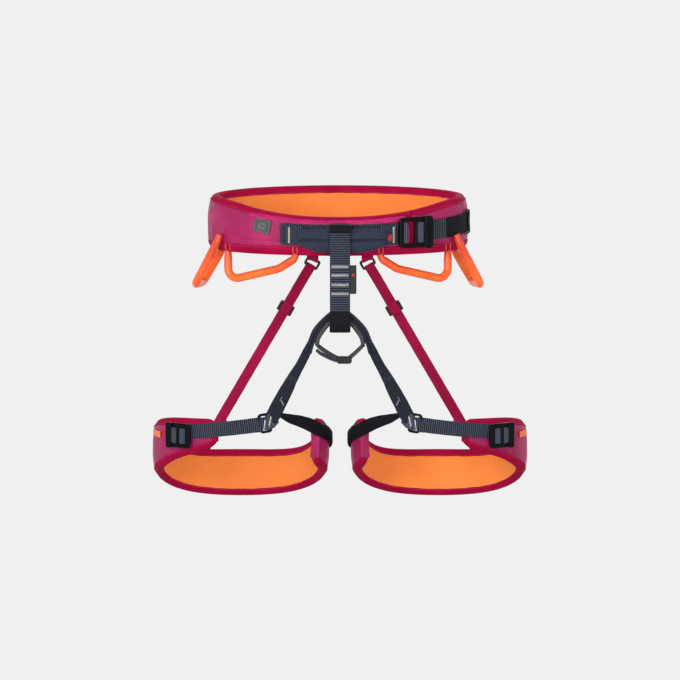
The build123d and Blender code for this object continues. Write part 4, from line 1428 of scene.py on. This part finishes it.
# thin closing strap with its slider
br_pts = [(-30.0, -136.5), (-24.8, -141.8), (-12.5, -150.4), (-3, -155.4), (3.5, -157.8), (9.0, -156.4), (14.5, -152.6), (24.8, -143.0), (30.0, -137.5)]
brs = ribbon("arch_closing_strap", [(x, -117.3, z, 0.0, 0.80, 0.60) for x, z in br_pts], 8.6, 1.6, M["prot"], pitch=1.3, rib=0.07)
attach(brs, "belay")
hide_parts("bridge_strap")
br2 = [(-29.5, -144.6), (-24.5, -148.6), (-15.0, -153.8), (-8, -156.6), (-1.0, -158.6)]
brt = ribbon("arch_closing_strap_tail", [(x, -120.0, z, 0.0, 0.85, 0.53) for x, z in br2], 7.4, 1.4, M["web_blue"], pitch=1.3, rib=0.07)
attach(brt, "belay")
sl_o = rrect(19.0, 9.2, 3.6, cx=5.25, cy=-157.4)
bsl = plate("closing_strap_slider", [(x, z) for x, z in sl_o], [], 10.6, 1.9, M["plastic"], (0, -111.9, 0), (1, 0, 0), (0, -1, 0), 0.0)
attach(bsl, "belay")
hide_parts("bridge_slider")

# ================================================================== front straps, both sides
STRAP_MID = (-60.5, -109.5, -182.0)


def front_rows(pts):
    return [(*p[:3], *p[3:6], p[6] if len(p) > 6 else 1.0) for p in pts]


up_rows = front_rows([(-36.4, -119.0, -136.0, 0.80, 0.45, -0.42, 0.46), (-39.0, -119.2, -141.5, 0.90, 0.25, -0.45, 0.58),
                      (-41.6, -119.2, -147.5, 1, 0.0, -0.49, 0.68), (-46.0, -116.5, -157.5, 1, 0, -0.49, 0.70),
                      (-52.4, -113.0, -169.6, 1, 0, -0.49, 0.74), (-59.3, -109.5, -182.0, 1, 0, -0.49, 0.87),
                      (-61.1, -108.4, -185.6, 1, 0, -0.49, 0.88)])
lo_rows = front_rows([(-57.9, -110.2, -179.4, 1, 0, -0.49, 0.83), (-59.3, -109.5, -182.0, 1, 0, -0.49, 0.855), (-65.2, -105.8, -194.0, 1, 0, -0.49, 1.0),
                      (-70.9, -102.2, -205.6, 1, 0, -0.49, 1.08), (-76.2, -99.0, -216.0, 1, 0, -0.49, 1.12),
                      (-80.6, -96.6, -225.2, 1, 0, -0.49, 1.14), (-85.0, -94.6, -233.6, 1, 0, -0.53, 1.08),
                      (-88.6, -93.5, -239.0, 0.97, 0, -0.45, 0.95)])
ov_rows = front_rows([(-38.6, -121.7, -136.6, 0.86, 0.3, -0.42, 0.40), (-40.8, -121.8, -144.5, 1, 0.05, -0.49, 0.58),
                      (-43.8, -120.8, -151.5, 1, 0, -0.49, 0.66), (-47.2, -118.4, -159.4, 1, 0, -0.49, 0.70)])
STRAP_TOP, STRAP_BOT = (-44.6, -119.0, -148.6), (-79.0, -98.0, -220.5)
LEG_PIECES = []      # left empty and unused; sided() below mirrors each left-hand piece as it is made


def sided(obj, body=None, blend=None, nodes=(), cx=0.0, slotname=None):
    """Keep a left-hand piece and make its right-hand twin; {s} in the body names is the side."""
    base = obj.name
    obj.name = base + "_left"
    obj.data.name = obj.name
    twin = mirror_obj(obj, base + "_right", cx)
    for o, side in ((obj, "left"), (twin, "right")):
        if blend:
            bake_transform(o)
        else:
            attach(o, body.format(s=side))
        if nodes:
            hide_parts(*[n.format(s=side) for n in nodes])
    return obj, twin


fs1 = ribbon("front_strap_upper", up_rows, 16.0, 3.2, M["web_speck"], 2.1, 0.22)
sided(fs1, blend=("belay", "waist", STRAP_TOP, STRAP_MID), nodes=["front_strap_{s}"])
fs2 = ribbon("front_strap_lower", lo_rows, 16.0, 3.4, M["web_speck"], 2.3, 0.20)
sided(fs2, blend=("waist", "leg_{s}", STRAP_MID, STRAP_BOT), nodes=["leg_junction_{s}"])
fs3 = ribbon("front_strap_overlap", ov_rows, 16.0, 2.0, M["web_speck"], 1.9, 0.22)
sided(fs3, blend=("belay", "waist", STRAP_TOP, STRAP_MID))


# ================================================================== leg loops (left one; the right is its mirror)
leg_th = LEG.even(TH_INNER, TH_FLAP + 2 * PI, 1.15)


def end_round(TH, w=7.0):
    s_ = LEG.arc(leg_th)
    d = np.minimum(s_, s_[-1] - s_)
    return np.sqrt(1 - (1 - np.clip(d / w, 0, 1)) ** 2)[:, None]


def leg_face(TH, TT, Z):
    y = LEG.y(TH)
    x = LEG_CX + LEG_A * np.cos(TH)
    o = (0.6 + 1.3 * sm(y, -70, -25)) * (1 - np.abs(TT) ** 3) - 0.35
    o = o - 0.55 * groove(x + 214.5, 1.3) * (y < 0)
    o = o - 0.6 * groove(y - 25, 1.3) * (x < -150) - 0.6 * groove(y - 25, 1.3) * (x > -90)
    return o * end_round(TH) - 2.2 * (1 - end_round(TH))


def leg_extra(P, TH, TT, Z):
    return crinkle(P, 21.0) * 0.85 * (1 - np.abs(TT) ** 8) * end_round(TH)


lsh = pad_face("leg_shell", LEG, leg_th, 2.0, 2.0, leg_face, -4.6, M["shell"], False, 58, leg_extra)
sided(lsh, "leg_{s}", nodes=["leg_outer_shell_{s}", "leg_foam_core_{s}"])
lli = pad_face("leg_lining", LEG, leg_th, 2.0, 2.0, lambda TH, TT, Z: (-9.7 - 0.8 * (1 - np.abs(TT) ** 3)) * end_round(TH) - 6.5 * (1 - end_round(TH)),
               -5.0, M["lining"], False, 42, tuck=1, extra=lambda P, TH, TT, Z: -0.3 * nz(P, 0.04, 14.0) - 0.1 * nz(P, 0.12, 12.0))
sided(lli, "leg_{s}", nodes=["leg_inner_lining_{s}"])
ltb = edge_tape("leg_top_tape", LEG, leg_th, 1, 8.0, 8.0, 1.25, -11.1, M["binding"], False, 13, rise=0.3)
sided(ltb, "leg_{s}", nodes=["leg_top_binding_{s}"])
lbb = edge_tape("leg_bottom_tape", LEG, leg_th, -1, 8.5, 8.5, 1.25, -11.1, M["binding"], False, 17, rise=0.3)
sided(lbb, "leg_{s}", nodes=["leg_bottom_binding_{s}"])


def end_tape(name, th_e, sgn, mat, h0=1.2, h1=1.2, leg=5.0):
    """Binding down an end of the pad, from the upper edge to the lower one."""
    y = LEG.y(np.array([th_e]))
    the = np.array([th_e])
    zt, zb = float(LEG.T(the)[0]) - h0, float(LEG.B(the)[0]) + h1
    z = np.linspace(zt, zb, max(12, int((zt - zb) / 0.8)))
    dth = leg / float(np.linalg.norm(LEG.pt(np.array(th_e + 1e-3), 0, 0) - LEG.pt(np.array(th_e), 0, 0)) * 1000)
    sec = []
    for th_off, o in ((1.0, 1.25), (0.6, 1.45), (0.2, 1.3)):
        sec.append((th_off, o))
    for a_ in np.linspace(0, PI, 9):
        sec.append((-0.42 * math.sin(a_), -4.95 + 6.1 * math.cos(a_)))
    for th_off, o in ((0.2, -11.2), (0.6, -11.35), (1.0, -11.1)):
        sec.append((th_off, o))
    sec += [(1.0, -10.0), (0.2, -9.8), (-0.05, -5.0), (0.2, 0.2), (1.0, 0.3)]
    P = np.zeros((len(z), len(sec), 3))
    for j, (t_, o) in enumerate(sec):
        th = np.full(len(z), th_e + sgn * t_ * dth)
        P[:, j] = LEG.pt(th, o + (wob(z, 5, 0.15, 14.0) if j < 15 else 0), z)
    seg = np.concatenate([[0], np.cumsum(np.linalg.norm(np.diff(P[0], axis=0), axis=1))])
    mb = MB()
    mb.strip_section(P, zt - z, np.concatenate([seg, [seg[-1] + 1]]))
    return mb.build(name, mat)


et = end_tape("leg_flap_end_tape", leg_th[-1], -1, M["binding"])
sided(et, "leg_{s}")
et = end_tape("leg_inner_end_tape", leg_th[0], 1, M["shell"], 1.6, 2.4, 3.4)
sided(et, "leg_{s}")

mb = MB()
ring_stitches(mb, LEG, leg_th[3:-3], 6.6, 1, 1.12)
ring_stitches(mb, LEG, leg_th[3:-3], 7.1, -1, 1.15)
ring_stitches(mb, LEG, leg_th[3:-3], 6.8, 1, -11.3, inward=True)
ring_stitches(mb, LEG, leg_th[3:-3], 7.2, -1, -11.3, inward=True)
for yy, lo, hi in ((25.0, -322, -272),):
    for outer_side in (True, False):
        ph = math.asin(yy / LEG_B)
        th_v = (PI - ph) if outer_side else ph
        z = np.linspace(lo, hi, 30)
        th = np.full_like(z, th_v + 0.02)
        stitches(mb, LEG.pt(th, 1.35, z), LEG.normal(th), 2.3, 1.5, 0.25)
z = np.linspace(-263, -246, 14)
th = np.full_like(z, -math.acos((-212.6 - LEG_CX) / LEG_A))
stitches(mb, LEG.pt(th, 1.25, z), LEG.normal(th), 2.2, 1.4, 0.25)
o = mb.build("leg_binding_stitches", M["pink_thread"])
sided(o, "leg_{s}")

# plain stripe on the outer flap
tq = LEG.even(-math.acos((-231.2 - LEG_CX) / LEG_A), -math.acos((-222.4 - LEG_CX) / LEG_A), 0.8)
rows = [(*LEG.pt(np.array(t_), 2.5, -262.5 - 0.02 * i), 0, 0, 1.0) for i, t_ in enumerate(tq)]
o = ribbon("leg_flap_stripe", rows, 8.0, 0.7, M["orange_print"], pitch=1.4, rib=0.02, per=4)
sided(o, "leg_{s}")

# adjusting webbing: out of the buckle, across the front to the ring
fz = lambda x: (np.interp(x, [-215, -186, -99], [-247.0, -244.1, -233.3]) + np.interp(x, [-215, -186, -99], [-265.6, -262.7, -252.0])) / 2


def leg_row(x, o, dz=0.0):
    th = np.array(-math.acos((x - LEG_CX) / LEG_A))
    p = LEG.pt(th, o, float(fz(x)) + dz)
    return (*p, 0, 0, 1.0)


lw = [leg_row(-215.5, 1.9), leg_row(-209, 2.3), leg_row(-199, 2.4), leg_row(-188, 2.6), leg_row(-179, 3.3), leg_row(-168, 4.4),
      (-152, -87.6, float(fz(-152)), 0, 0, 1.0), (-136, -90.6, float(fz(-136)), 0, 0, 1.0), (-119, -92.0, float(fz(-119)), 0, 0, 1.0),
      (-106.5, -92.3, float(fz(-106.5)), 0.05, 0, 1.0), (-101.0, -93.4, float(fz(-101)), 0.1, 0, 1.0), (-97.2, -94.5, float(fz(-98)), 0.12, 0, 1.0),
      (-95.4, -93.2, float(fz(-96)), 0.12, 0, 1.0), (-96.8, -91.4, float(fz(-97)), 0.12, 0, 1.0), (-103, -90.6, float(fz(-103)), 0.05, 0, 1.0),
      (-113, -90.4, float(fz(-113)), 0, 0, 1.0)]
o = ribbon("leg_adjusting_webbing", [(*r, 1.0) for r in lw], 18.4, 1.5, M["web"], 2.6, 0.24, per=10)
sided(o, "leg_{s}", nodes=["leg_webbing_{s}"])
# the webbing end from the front strap, folded through the ring
jn = [(-81.5, -94.4, -233.0), (-86.4, -95.4, -237.8), (-89.6, -95.8, -239.2), (-92.2, -94.6, -240.4), (-92.4, -92.6, -240.6), (-90.0, -91.0, -240.0),
      (-84.0, -91.6, -237.6)]
o = ribbon("leg_ring_webbing", [(*p, 0.22, 0, 0.975, 1.0) for p in jn], 18.0, 1.6, M["web_blue"], 2.2, 0.2, per=10)
sided(o, "leg_{s}")
mb = MB()
tack(mb, (-87.2, -96.6, -238.4), (0.2, 0, 0.98), (0.98, 0, -0.2), (0, -1, 0), 13.0, 2.4, 0.7, 0.34)
o = mb.build("leg_ring_bartack", M["cream"])
sided(o, "leg_{s}")
mb = MB()
for q_, a_ in (((-73.2, -103.4, -208.5), 0.0), ((-71.6, -104.2, -213.5), 0.9)):
    tack(mb, q_, (0.35 - a_ * 0.8, -0.2, 0.9), (0.9, 0, 0.3), (0.15, -0.95, 0.1), 6.0, 2.0, 0.7, 0.32)
o = mb.build("front_strap_bartack", M["grey_thread"])
sided(o, blend=("waist", "leg_{s}", STRAP_MID, STRAP_BOT))

lring = plate("leg_adjusting_ring", rrect(16.0, 25.0, 4.4), [rrect(9.4, 18.4, 2.2)], 2.8, 1.1, M["metal"], (-93.6, -93.0, -240.6),
              (0.982, 0, 0.18), (0, -1, 0), -1.4)
sided(lring, "leg_{s}", nodes=["leg_ring_{s}"])

# inner strap, tapering to a point at the junction and folded round the inner end of the pad
it = [(-76.0, -96.6, -229.0, 0.34), (-72.0, -94.4, -230.9, 0.42), (-62.5, -85.5, -235.7, 0.68), (-50, -72.0, -241.0, 0.86),
      (-37.5, -57.5, -247.8, 0.97), (-29.5, -47.0, -253.4, 1.0)]
rows = [(x, y, z, 0.42, 0, 0.9, f) for x, y, z, f in it]
for th, o_, z, f in ((-0.42, 2.6, -258.4, 1.02), (-0.29, 2.9, -262.4, 1.05), (-0.15, 4.2, -267.2, 1.05), (-0.03, 5.0, -271.8, 1.05), (0.09, 4.4, -276.4, 1.0),
                     (0.20, 3.0, -280.4, 1.0), (0.30, 1.9, -284.0, 1.0), (0.40, 1.0, -287.6, 1.0)):
    p = LEG.pt(np.array(th), o_ + 0.0, z)
    rows.append((*p, 0.25 * (th < -0.2), 0.42, 0.9, f))
o = ribbon("leg_inner_web", rows, 17.0, 2.2, M["web_plain"], 2.2, 0.10, per=14)
sided(o, "leg_{s}", nodes=["leg_inner_strap_{s}"])
mb = MB()
p = LEG.pt(np.array(0.315), 3.2, -284.6)
tack(mb, p, (0.0, 0.42, 0.9), (0, 0.9, -0.42), LEG.normal(np.array(0.315)), 13.0, 2.2, 0.7, 0.3)
o = mb.build("leg_inner_web_bartack", M["grey_thread"])
sided(o, "leg_{s}")
# riser tab at the back of the leg loop
rows = []
for x, z, o_ in ((-183.0, -320.0, 2.2), (-176.0, -308.0, 2.3), (-168.0, -294.5, 2.5), (-160.0, -281.0, 2.6), (-152.5, -268.0, 2.8), (-147.6, -259.4, 3.0)):
    th = math.acos((x - LEG_CX) / LEG_A)
    p = LEG.pt(np.array(th), o_, min(z, -262.0))
    rows.append((p[0], p[1], z, 0.86, 0, -0.505))
RT_TOP = (-144.5, 91.0, -248.5)
o = ribbon("leg_riser_end", rows, 13.2, 1.8, M["elastic"], 1.6, 0.07, per=14)
sided(o, "leg_{s}", nodes=["leg_riser_tab_{s}"])
mb = MB()
for x, z in ((-179.5, -314.0), (-173.0, -303.0)):
    th = np.array(math.acos((x - LEG_CX) / LEG_A))
    n = LEG.normal(th)
    al = np.array([0.86, 0, -0.505])
    tack(mb, LEG.pt(th, 3.35, z), al, np.cross(n, al), n, 11.5, 1.9, 0.7, 0.3)
o = mb.build("leg_riser_bartacks", M["dark_thread"])
sided(o, "leg_{s}")

# ================================================================== leg buckles
LBO, LBX, LBZ = (-200.0, -66.2295, -259.6), (0.820069, -0.572265, 0.0), (-0.572265, -0.820069, 0.0)


def loc(orig, xd, zd, x, y, z):
    xd, zd = np.array(xd), np.array(zd)
    yd = np.cross(zd, xd)
    return np.array(orig) + xd * x + yd * y + zd * z


lf = plate("leg_buckle_plate", rrect(35, 31, 5.0), [rrect(7.5, 21.5, 2.0, cx=-6.4), rrect(7.5, 21.5, 2.0, cx=6.6)], 4.0, 1.25, M["metal"], LBO, LBX, LBZ)
sided(lf, "leg_buckle_{s}", nodes=["leg_buckle_frame_{s}"])
lbp = plate("leg_buckle_press_bar", rrect(8.8, 32.5, 3.0, cx=-13.2), [], 3.0, 1.25, M["metal"], LBO, LBX, LBZ, 3.7)
sided(lbp, "leg_buckle_{s}", nodes=["leg_buckle_bar_{s}"])
for nm, xs in (("leg_wrap_outer", (-12.2, -9.8, -7.2, -5.0, -3.2, -3.4)), ("leg_wrap_inner", (1.2, 3.4, 6.2, 8.4, 10.0, 9.6))):
    zs = (1.2, 3.9, 4.75, 3.9, 1.6, 0.2)
    rows = [(*loc(LBO, LBX, LBZ, x, 0, z), 0, 0, 1.0) for x, z in zip(xs, zs)]
    o = ribbon(nm, rows, 19.6, 1.5, M["web_blue"], 1.7, 0.16, per=10)
    sided(o, "leg_buckle_{s}")

# ================================================================== waist buckle
WBO, WBX, WBZ = (93.2087, -88.9067, -0.8), (0.908759, 0.417321, 0.0), (0.417321, -0.908759, 0.0)
wf = plate("waist_buckle_plate", rrect(46, 39, 6.5), [rrect(15.2, 28.5, 2.6, cx=-9.7), rrect(7.2, 28.5, 2.2, cx=5.5)], 5.0, 1.5, M["metal"], WBO, WBX, WBZ)
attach(wf, "waist_buckle")
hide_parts("waist_buckle_frame")
wb = plate("waist_buckle_press_bar", rrect(12.2, 41.0, 4.0, cx=15.9), [], 3.8, 1.5, M["metal"], WBO, WBX, WBZ, 4.7)
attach(wb, "waist_buckle")
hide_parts("waist_buckle_bar")
for nm, xs, zs in (("waist_wrap_left", (-16.6, -16.2, -14.8, -12.8, -11.6, -11.8, -13.2), (0.4, 3.2, 5.2, 5.2, 3.0, 0.8, -0.6)),
                   ("waist_wrap_right", (2.6, 2.8, 4.4, 6.6, 8.6, 10.2, 11.8), (-0.4, 3.0, 5.3, 5.9, 5.6, 4.9, 4.6))):
    rows = [(*loc(WBO, WBX, WBZ, x, 0, z), 0, 0, 1.0) for x, z in zip(xs, zs)]
    o = ribbon(nm, rows, 26.0, 1.6, M["web_blue"], 1.9, 0.2, per=10)
    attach(o, "waist_buckle")

# ================================================================== risers
R0 = np.array((-34.7, 101.6, -65.4))
RD = np.array((-0.505084, -0.071012, -0.860144))
RA = unit(np.array([[0.860, 0, -0.505]]))[0]
RN = np.cross(RD, RA)
on = lambda t: R0 + RD * t
o = plate("riser_ring", rrect(19.0, 12.8, 3.2), [rrect(13.2, 7.0, 1.6)], 2.8, 1.1, M["plastic"], tuple(R0), tuple(RA), tuple(RN), -1.4)
sided(o, "waist", nodes=[])
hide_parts("riser_rings")
rows = []
for t, d in ((2.2, -2.2), (0.6, -2.9), (-1.0, -2.4), (-1.9, 0.0), (-0.6, 2.2), (2.6, 2.3), (7.0, 1.5), (14.0, 0.9), (22.0, 0.2), (60, 0.1), (78.0, 0.1)):
    rows.append((*(on(t + 4.6) + RN * d), *RA))
o = ribbon("riser_upper", rows, 12.8, 1.5, M["elastic"], 1.4, 0.05, per=10)
sided(o, "waist")
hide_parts("riser_straps")
R_A, R_B = tuple(on(86.0)), tuple(on(213.0))
rows = [(*(on(t) + RN * 0.05), *RA) for t in (76.0, 80, 100, 125, 150, 175, 192)]
for t, f in ((203.0, 0.18), (211.0, 0.48), (219.0, 0.80), (226.0, 0.97), (234.0, 1.0)):
    q = on(t)
    yw = LEG.pt(np.array(math.acos((q[0] - LEG_CX) / LEG_A)), 4.9, min(q[2], -262.0))[1]
    rows.append((q[0], q[1] + f * (yw - q[1]), q[2], *RA))
o = ribbon("riser_lower", rows, 12.8, 1.5, M["elastic"], 1.4, 0.05, per=10)
sided(o, blend=("waist", "leg_{s}", R_A, R_B))
rows = [(-33.9, 105.9, -40.5, 1, 0, 0), (-33.9, 107.0, -46.0, 1, 0, 0), (-34.0, 106.2, -50.0, 1, 0, -0.05), (-34.2, 103.9, -56.2, 1, 0, -0.2),
        (-34.5, 103.6, -60.2, 0.95, 0, -0.3), (-34.5, 102.2, -62.6, 0.9, 0, -0.4), (-34.4, 100.2, -61.4, 0.92, 0, -0.35), (-34.2, 99.8, -55.0, 1, 0, -0.2),
        (-34.0, 100.0, -48.0, 1, 0, 0)]
o = ribbon("riser_belt_tab", rows, 14.6, 1.5, M["elastic"], 1.5, 0.06, per=10)
sided(o, "waist")
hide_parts("riser_tabs")
mb = MB()
tack(mb, (-33.9, 107.9, -43.6), (1, 0, 0), (0, 0, 1), (0, 1, 0), 12.5, 2.0, 0.7, 0.3)
o = mb.build("riser_tab_bartack", M["dark_thread"])
sided(o, "waist")
# sliders: a plastic case with three bars, the strap running through
S0 = on(66.0)
o = plate("riser_slider_front", rrect(19.6, 13.5, 2.6), [rrect(13.6, 3.0, 0.9, cy=3.1), rrect(13.6, 3.0, 0.9, cy=-3.1)], 2.3, 0.8, M["plastic"],
          tuple(S0), tuple(RA), tuple(RN), 1.2)
sided(o, "riser_slider_{s}", nodes=["riser_slider_{s}"])
rows = [(*(on(66.0 + t) + RN * d), *RA) for t, d in ((-11.0, 1.7), (-8.8, 2.6), (-6.8, 4.3), (-4.5, 4.8), (0.0, 4.9), (3.5, 4.8), (5.6, 4.5), (7.0, 3.7), (7.7, 2.4),
                                                    (7.6, 1.7))]
o = ribbon("riser_slider_strap", rows, 12.8, 1.4, M["elastic"], 1.4, 0.05, per=10)
sided(o, "riser_slider_{s}")
o = plate("riser_slider_back", rrect(19.6, 13.5, 2.6), [], 2.3, 0.8, M["plastic"], tuple(S0), tuple(RA), tuple(RN), -3.5)
sided(o, "riser_slider_{s}")
for sgn in (-1, 1):
    o = plate("riser_slider_side" + ("_a" if sgn < 0 else "_b"), rrect(3.0, 13.3, 1.3, cx=sgn * 8.3), [], 5.2, 0.8, M["plastic"], tuple(S0), tuple(RA),
              tuple(RN), -2.6)
    sided(o, "riser_slider_{s}")

# ================================================================== gear loops and haul loop
GF = [(-139.4, -46.0, -27.0), (-139.4, -52.0, -66.5), (-76.0, -86.5, -47.2), (-57.5, -93.5, -34.5), (-54.0, -94.6, -27.0)]
GR = [(-150.0, -51.0, -9.0), (-152.5, -50.6, -17.0), (-180.5, -32.0, -74.0), (-171.5, 22.0, -79.0), (-148.6, 46.0, -43.0), (-146.0, 48.2, -37.0)]


def gear(name, pts, radii, body, node):
    p = fillet_path(pts, radii, 4.0)
    s_ = np.linspace(0, 1, len(p))
    end = np.minimum(s_, 1 - s_)
    fac = 0.80 + 0.20 * sm(end, 0.0, 0.10)
    o = tube(name, np.hstack([p, fac[:, None]]), 5.1, M["gear"], raw=True, seg=24)
    sided(o, body, nodes=[node], cx=BELT_CX)
    return p


pf = gear("front_gear_tube", GF, [13.0, 24.0, 6.0], "gear_front_{s}", "gear_loop_front_{s}")
pr = gear("rear_gear_tube", GR, [8.0, 11.0, 13.0, 8.0], "gear_rear_{s}", "gear_loop_rear_{s}")
# the small stitches where the loops are sewn into the belt
mb = MB()
for x, z in ((-136.0, -23.5), (-141.5, -23.5), (-58.0, -22.5), (-53.0, -22.5), (-147.5, -14.0)):
    th = np.array(BELT.theta_of_x(x))
    n = BELT.normal(th)
    tack(mb, BELT.pt(th, 1.9, z), (0, 0, 1), np.cross([0, 0, 1.0], n), n, 7.0, 1.5, 0.8, 0.3)
o = mb.build("gear_loop_bartacks", M["orange_thread"])
sided(o, "waist", cx=BELT_CX)

hp = fillet_path([(-15.5, 111.6, -9.4), (-15.5, 112.6, -46.0), (10.5, 112.6, -46.0), (10.5, 111.6, -9.4)], [9.0, 9.0], 3.0)
o = tube("haul_loop_cord", hp, 3.0, M["web_plain"], raw=True, seg=18, ds=1.2)
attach(o, "haul")
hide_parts("haul_loop")
hq = BELT.even(math.acos((17.5 - BELT_CX) / BELT_A), math.acos((-22.5 - BELT_CX) / BELT_A), 1.2)
o = ribbon("haul_loop_webbing", np.hstack([BELT.pt(hq, 2.7, -1.3), np.repeat([[0, 0, 1.0]], len(hq), 0)]), 14.6, 2.2, M["web"], 2.4, 0.2, raw=True)
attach(o, "waist")
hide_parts("haul_loop_anchor")
mb = MB()
for x in (-20.5, 15.5, -10.0, 5.0):
    th = np.array(math.acos((x - BELT_CX) / BELT_A))
    n = BELT.normal(th)
    tack(mb, BELT.pt(th, 4.0, -1.3), (0, 0, 1), np.cross([0, 0, 1.0], n), n, 12.5, 2.0, 0.7, 0.3)
o = mb.build("haul_loop_bartacks", M["grey_thread"])
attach(o, "waist")

# ================================================================== floor, slots, end
me = bpy.data.meshes.new("floor")
R = 60.0
me.from_pydata([(-R, -R, -0.75), (R, -R, -0.75), (R, R, -0.75), (-R, R, -0.75)], [], [(0, 1, 2, 3)])
floor = bpy.data.objects.new("floor", me)
scene.collection.objects.link(floor)
fm = bpy.data.materials.new("floor")
fm.use_nodes = True
fm.node_tree.nodes.clear()
f_out = fm.node_tree.nodes.new("ShaderNodeOutputMaterial")
f_em = fm.node_tree.nodes.new("ShaderNodeEmission")
f_tc = fm.node_tree.nodes.new("ShaderNodeTexCoord")
f_len = fm.node_tree.nodes.new("ShaderNodeVectorMath")
f_len.operation = "LENGTH"
# painted shadow: the floor's glow is darkest (0.30) straight under the harness and eases out to the pale backdrop
# colour about 1 m away
f_painted_shadow_ramp = fm.node_tree.nodes.new("ShaderNodeValToRGB")
f_painted_shadow_ramp.color_ramp.interpolation = "EASE"
fe = f_painted_shadow_ramp.color_ramp.elements
fe[0].position, fe[0].color = 0.0, (0.30, 0.30, 0.31, 1)
fe[1].position, fe[1].color = 1.0, (0.871, 0.871, 0.875, 1)
f_map = fm.node_tree.nodes.new("ShaderNodeMapping")
f_map.inputs["Scale"].default_value = (0.95, 0.95, 0.0)
fm.node_tree.links.new(f_tc.outputs["Object"], f_map.inputs["Vector"])
fm.node_tree.links.new(f_map.outputs[0], f_len.inputs[0])
fm.node_tree.links.new(f_len.outputs["Value"], f_painted_shadow_ramp.inputs[0])
fm.node_tree.links.new(f_painted_shadow_ramp.outputs[0], f_em.inputs[0])
fm.node_tree.links.new(f_em.outputs[0], f_out.inputs[0])
me.materials.append(fm)

SLOTS = {"shell_fabric": "shell_fabric", "front_strip_fabric": "shell_fabric", "binding_tape": "binding_tape", "lining_fabric": "lining_fabric", "dark_webbing": "dark_webbing",
         "dark_webbing_smooth": "dark_webbing", "dark_webbing_speckled": "dark_webbing", "blue_grey_webbing": "dark_webbing",
         "navy_sleeve": "navy_sleeve", "riser_elastic": "riser_elastic", "gear_loop_orange": "gear_loop_orange", "buckle_metal": "buckle_metal",
         "ring_metal": "ring_metal", "black_plastic": "black_plastic", "grey_protector": "grey_protector", "thread_cream": "thread",
         "thread_grey": "thread", "thread_pink": "thread", "thread_dark": "thread", "thread_orange": "thread", "label_grey": "label_grey",
         "label_light": "label_grey", "label_black": "label_black", "label_red": "label_black", "orange_stripe": "gear_loop_orange"}
for o in list(scene.objects):
    if o.type == "MESH" and o is not floor and o.data.materials and o.data.materials[0] and o.data.materials[0].name in SLOTS:
        if not o.get("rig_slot"):
            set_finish(o, SLOTS[o.data.materials[0].name])
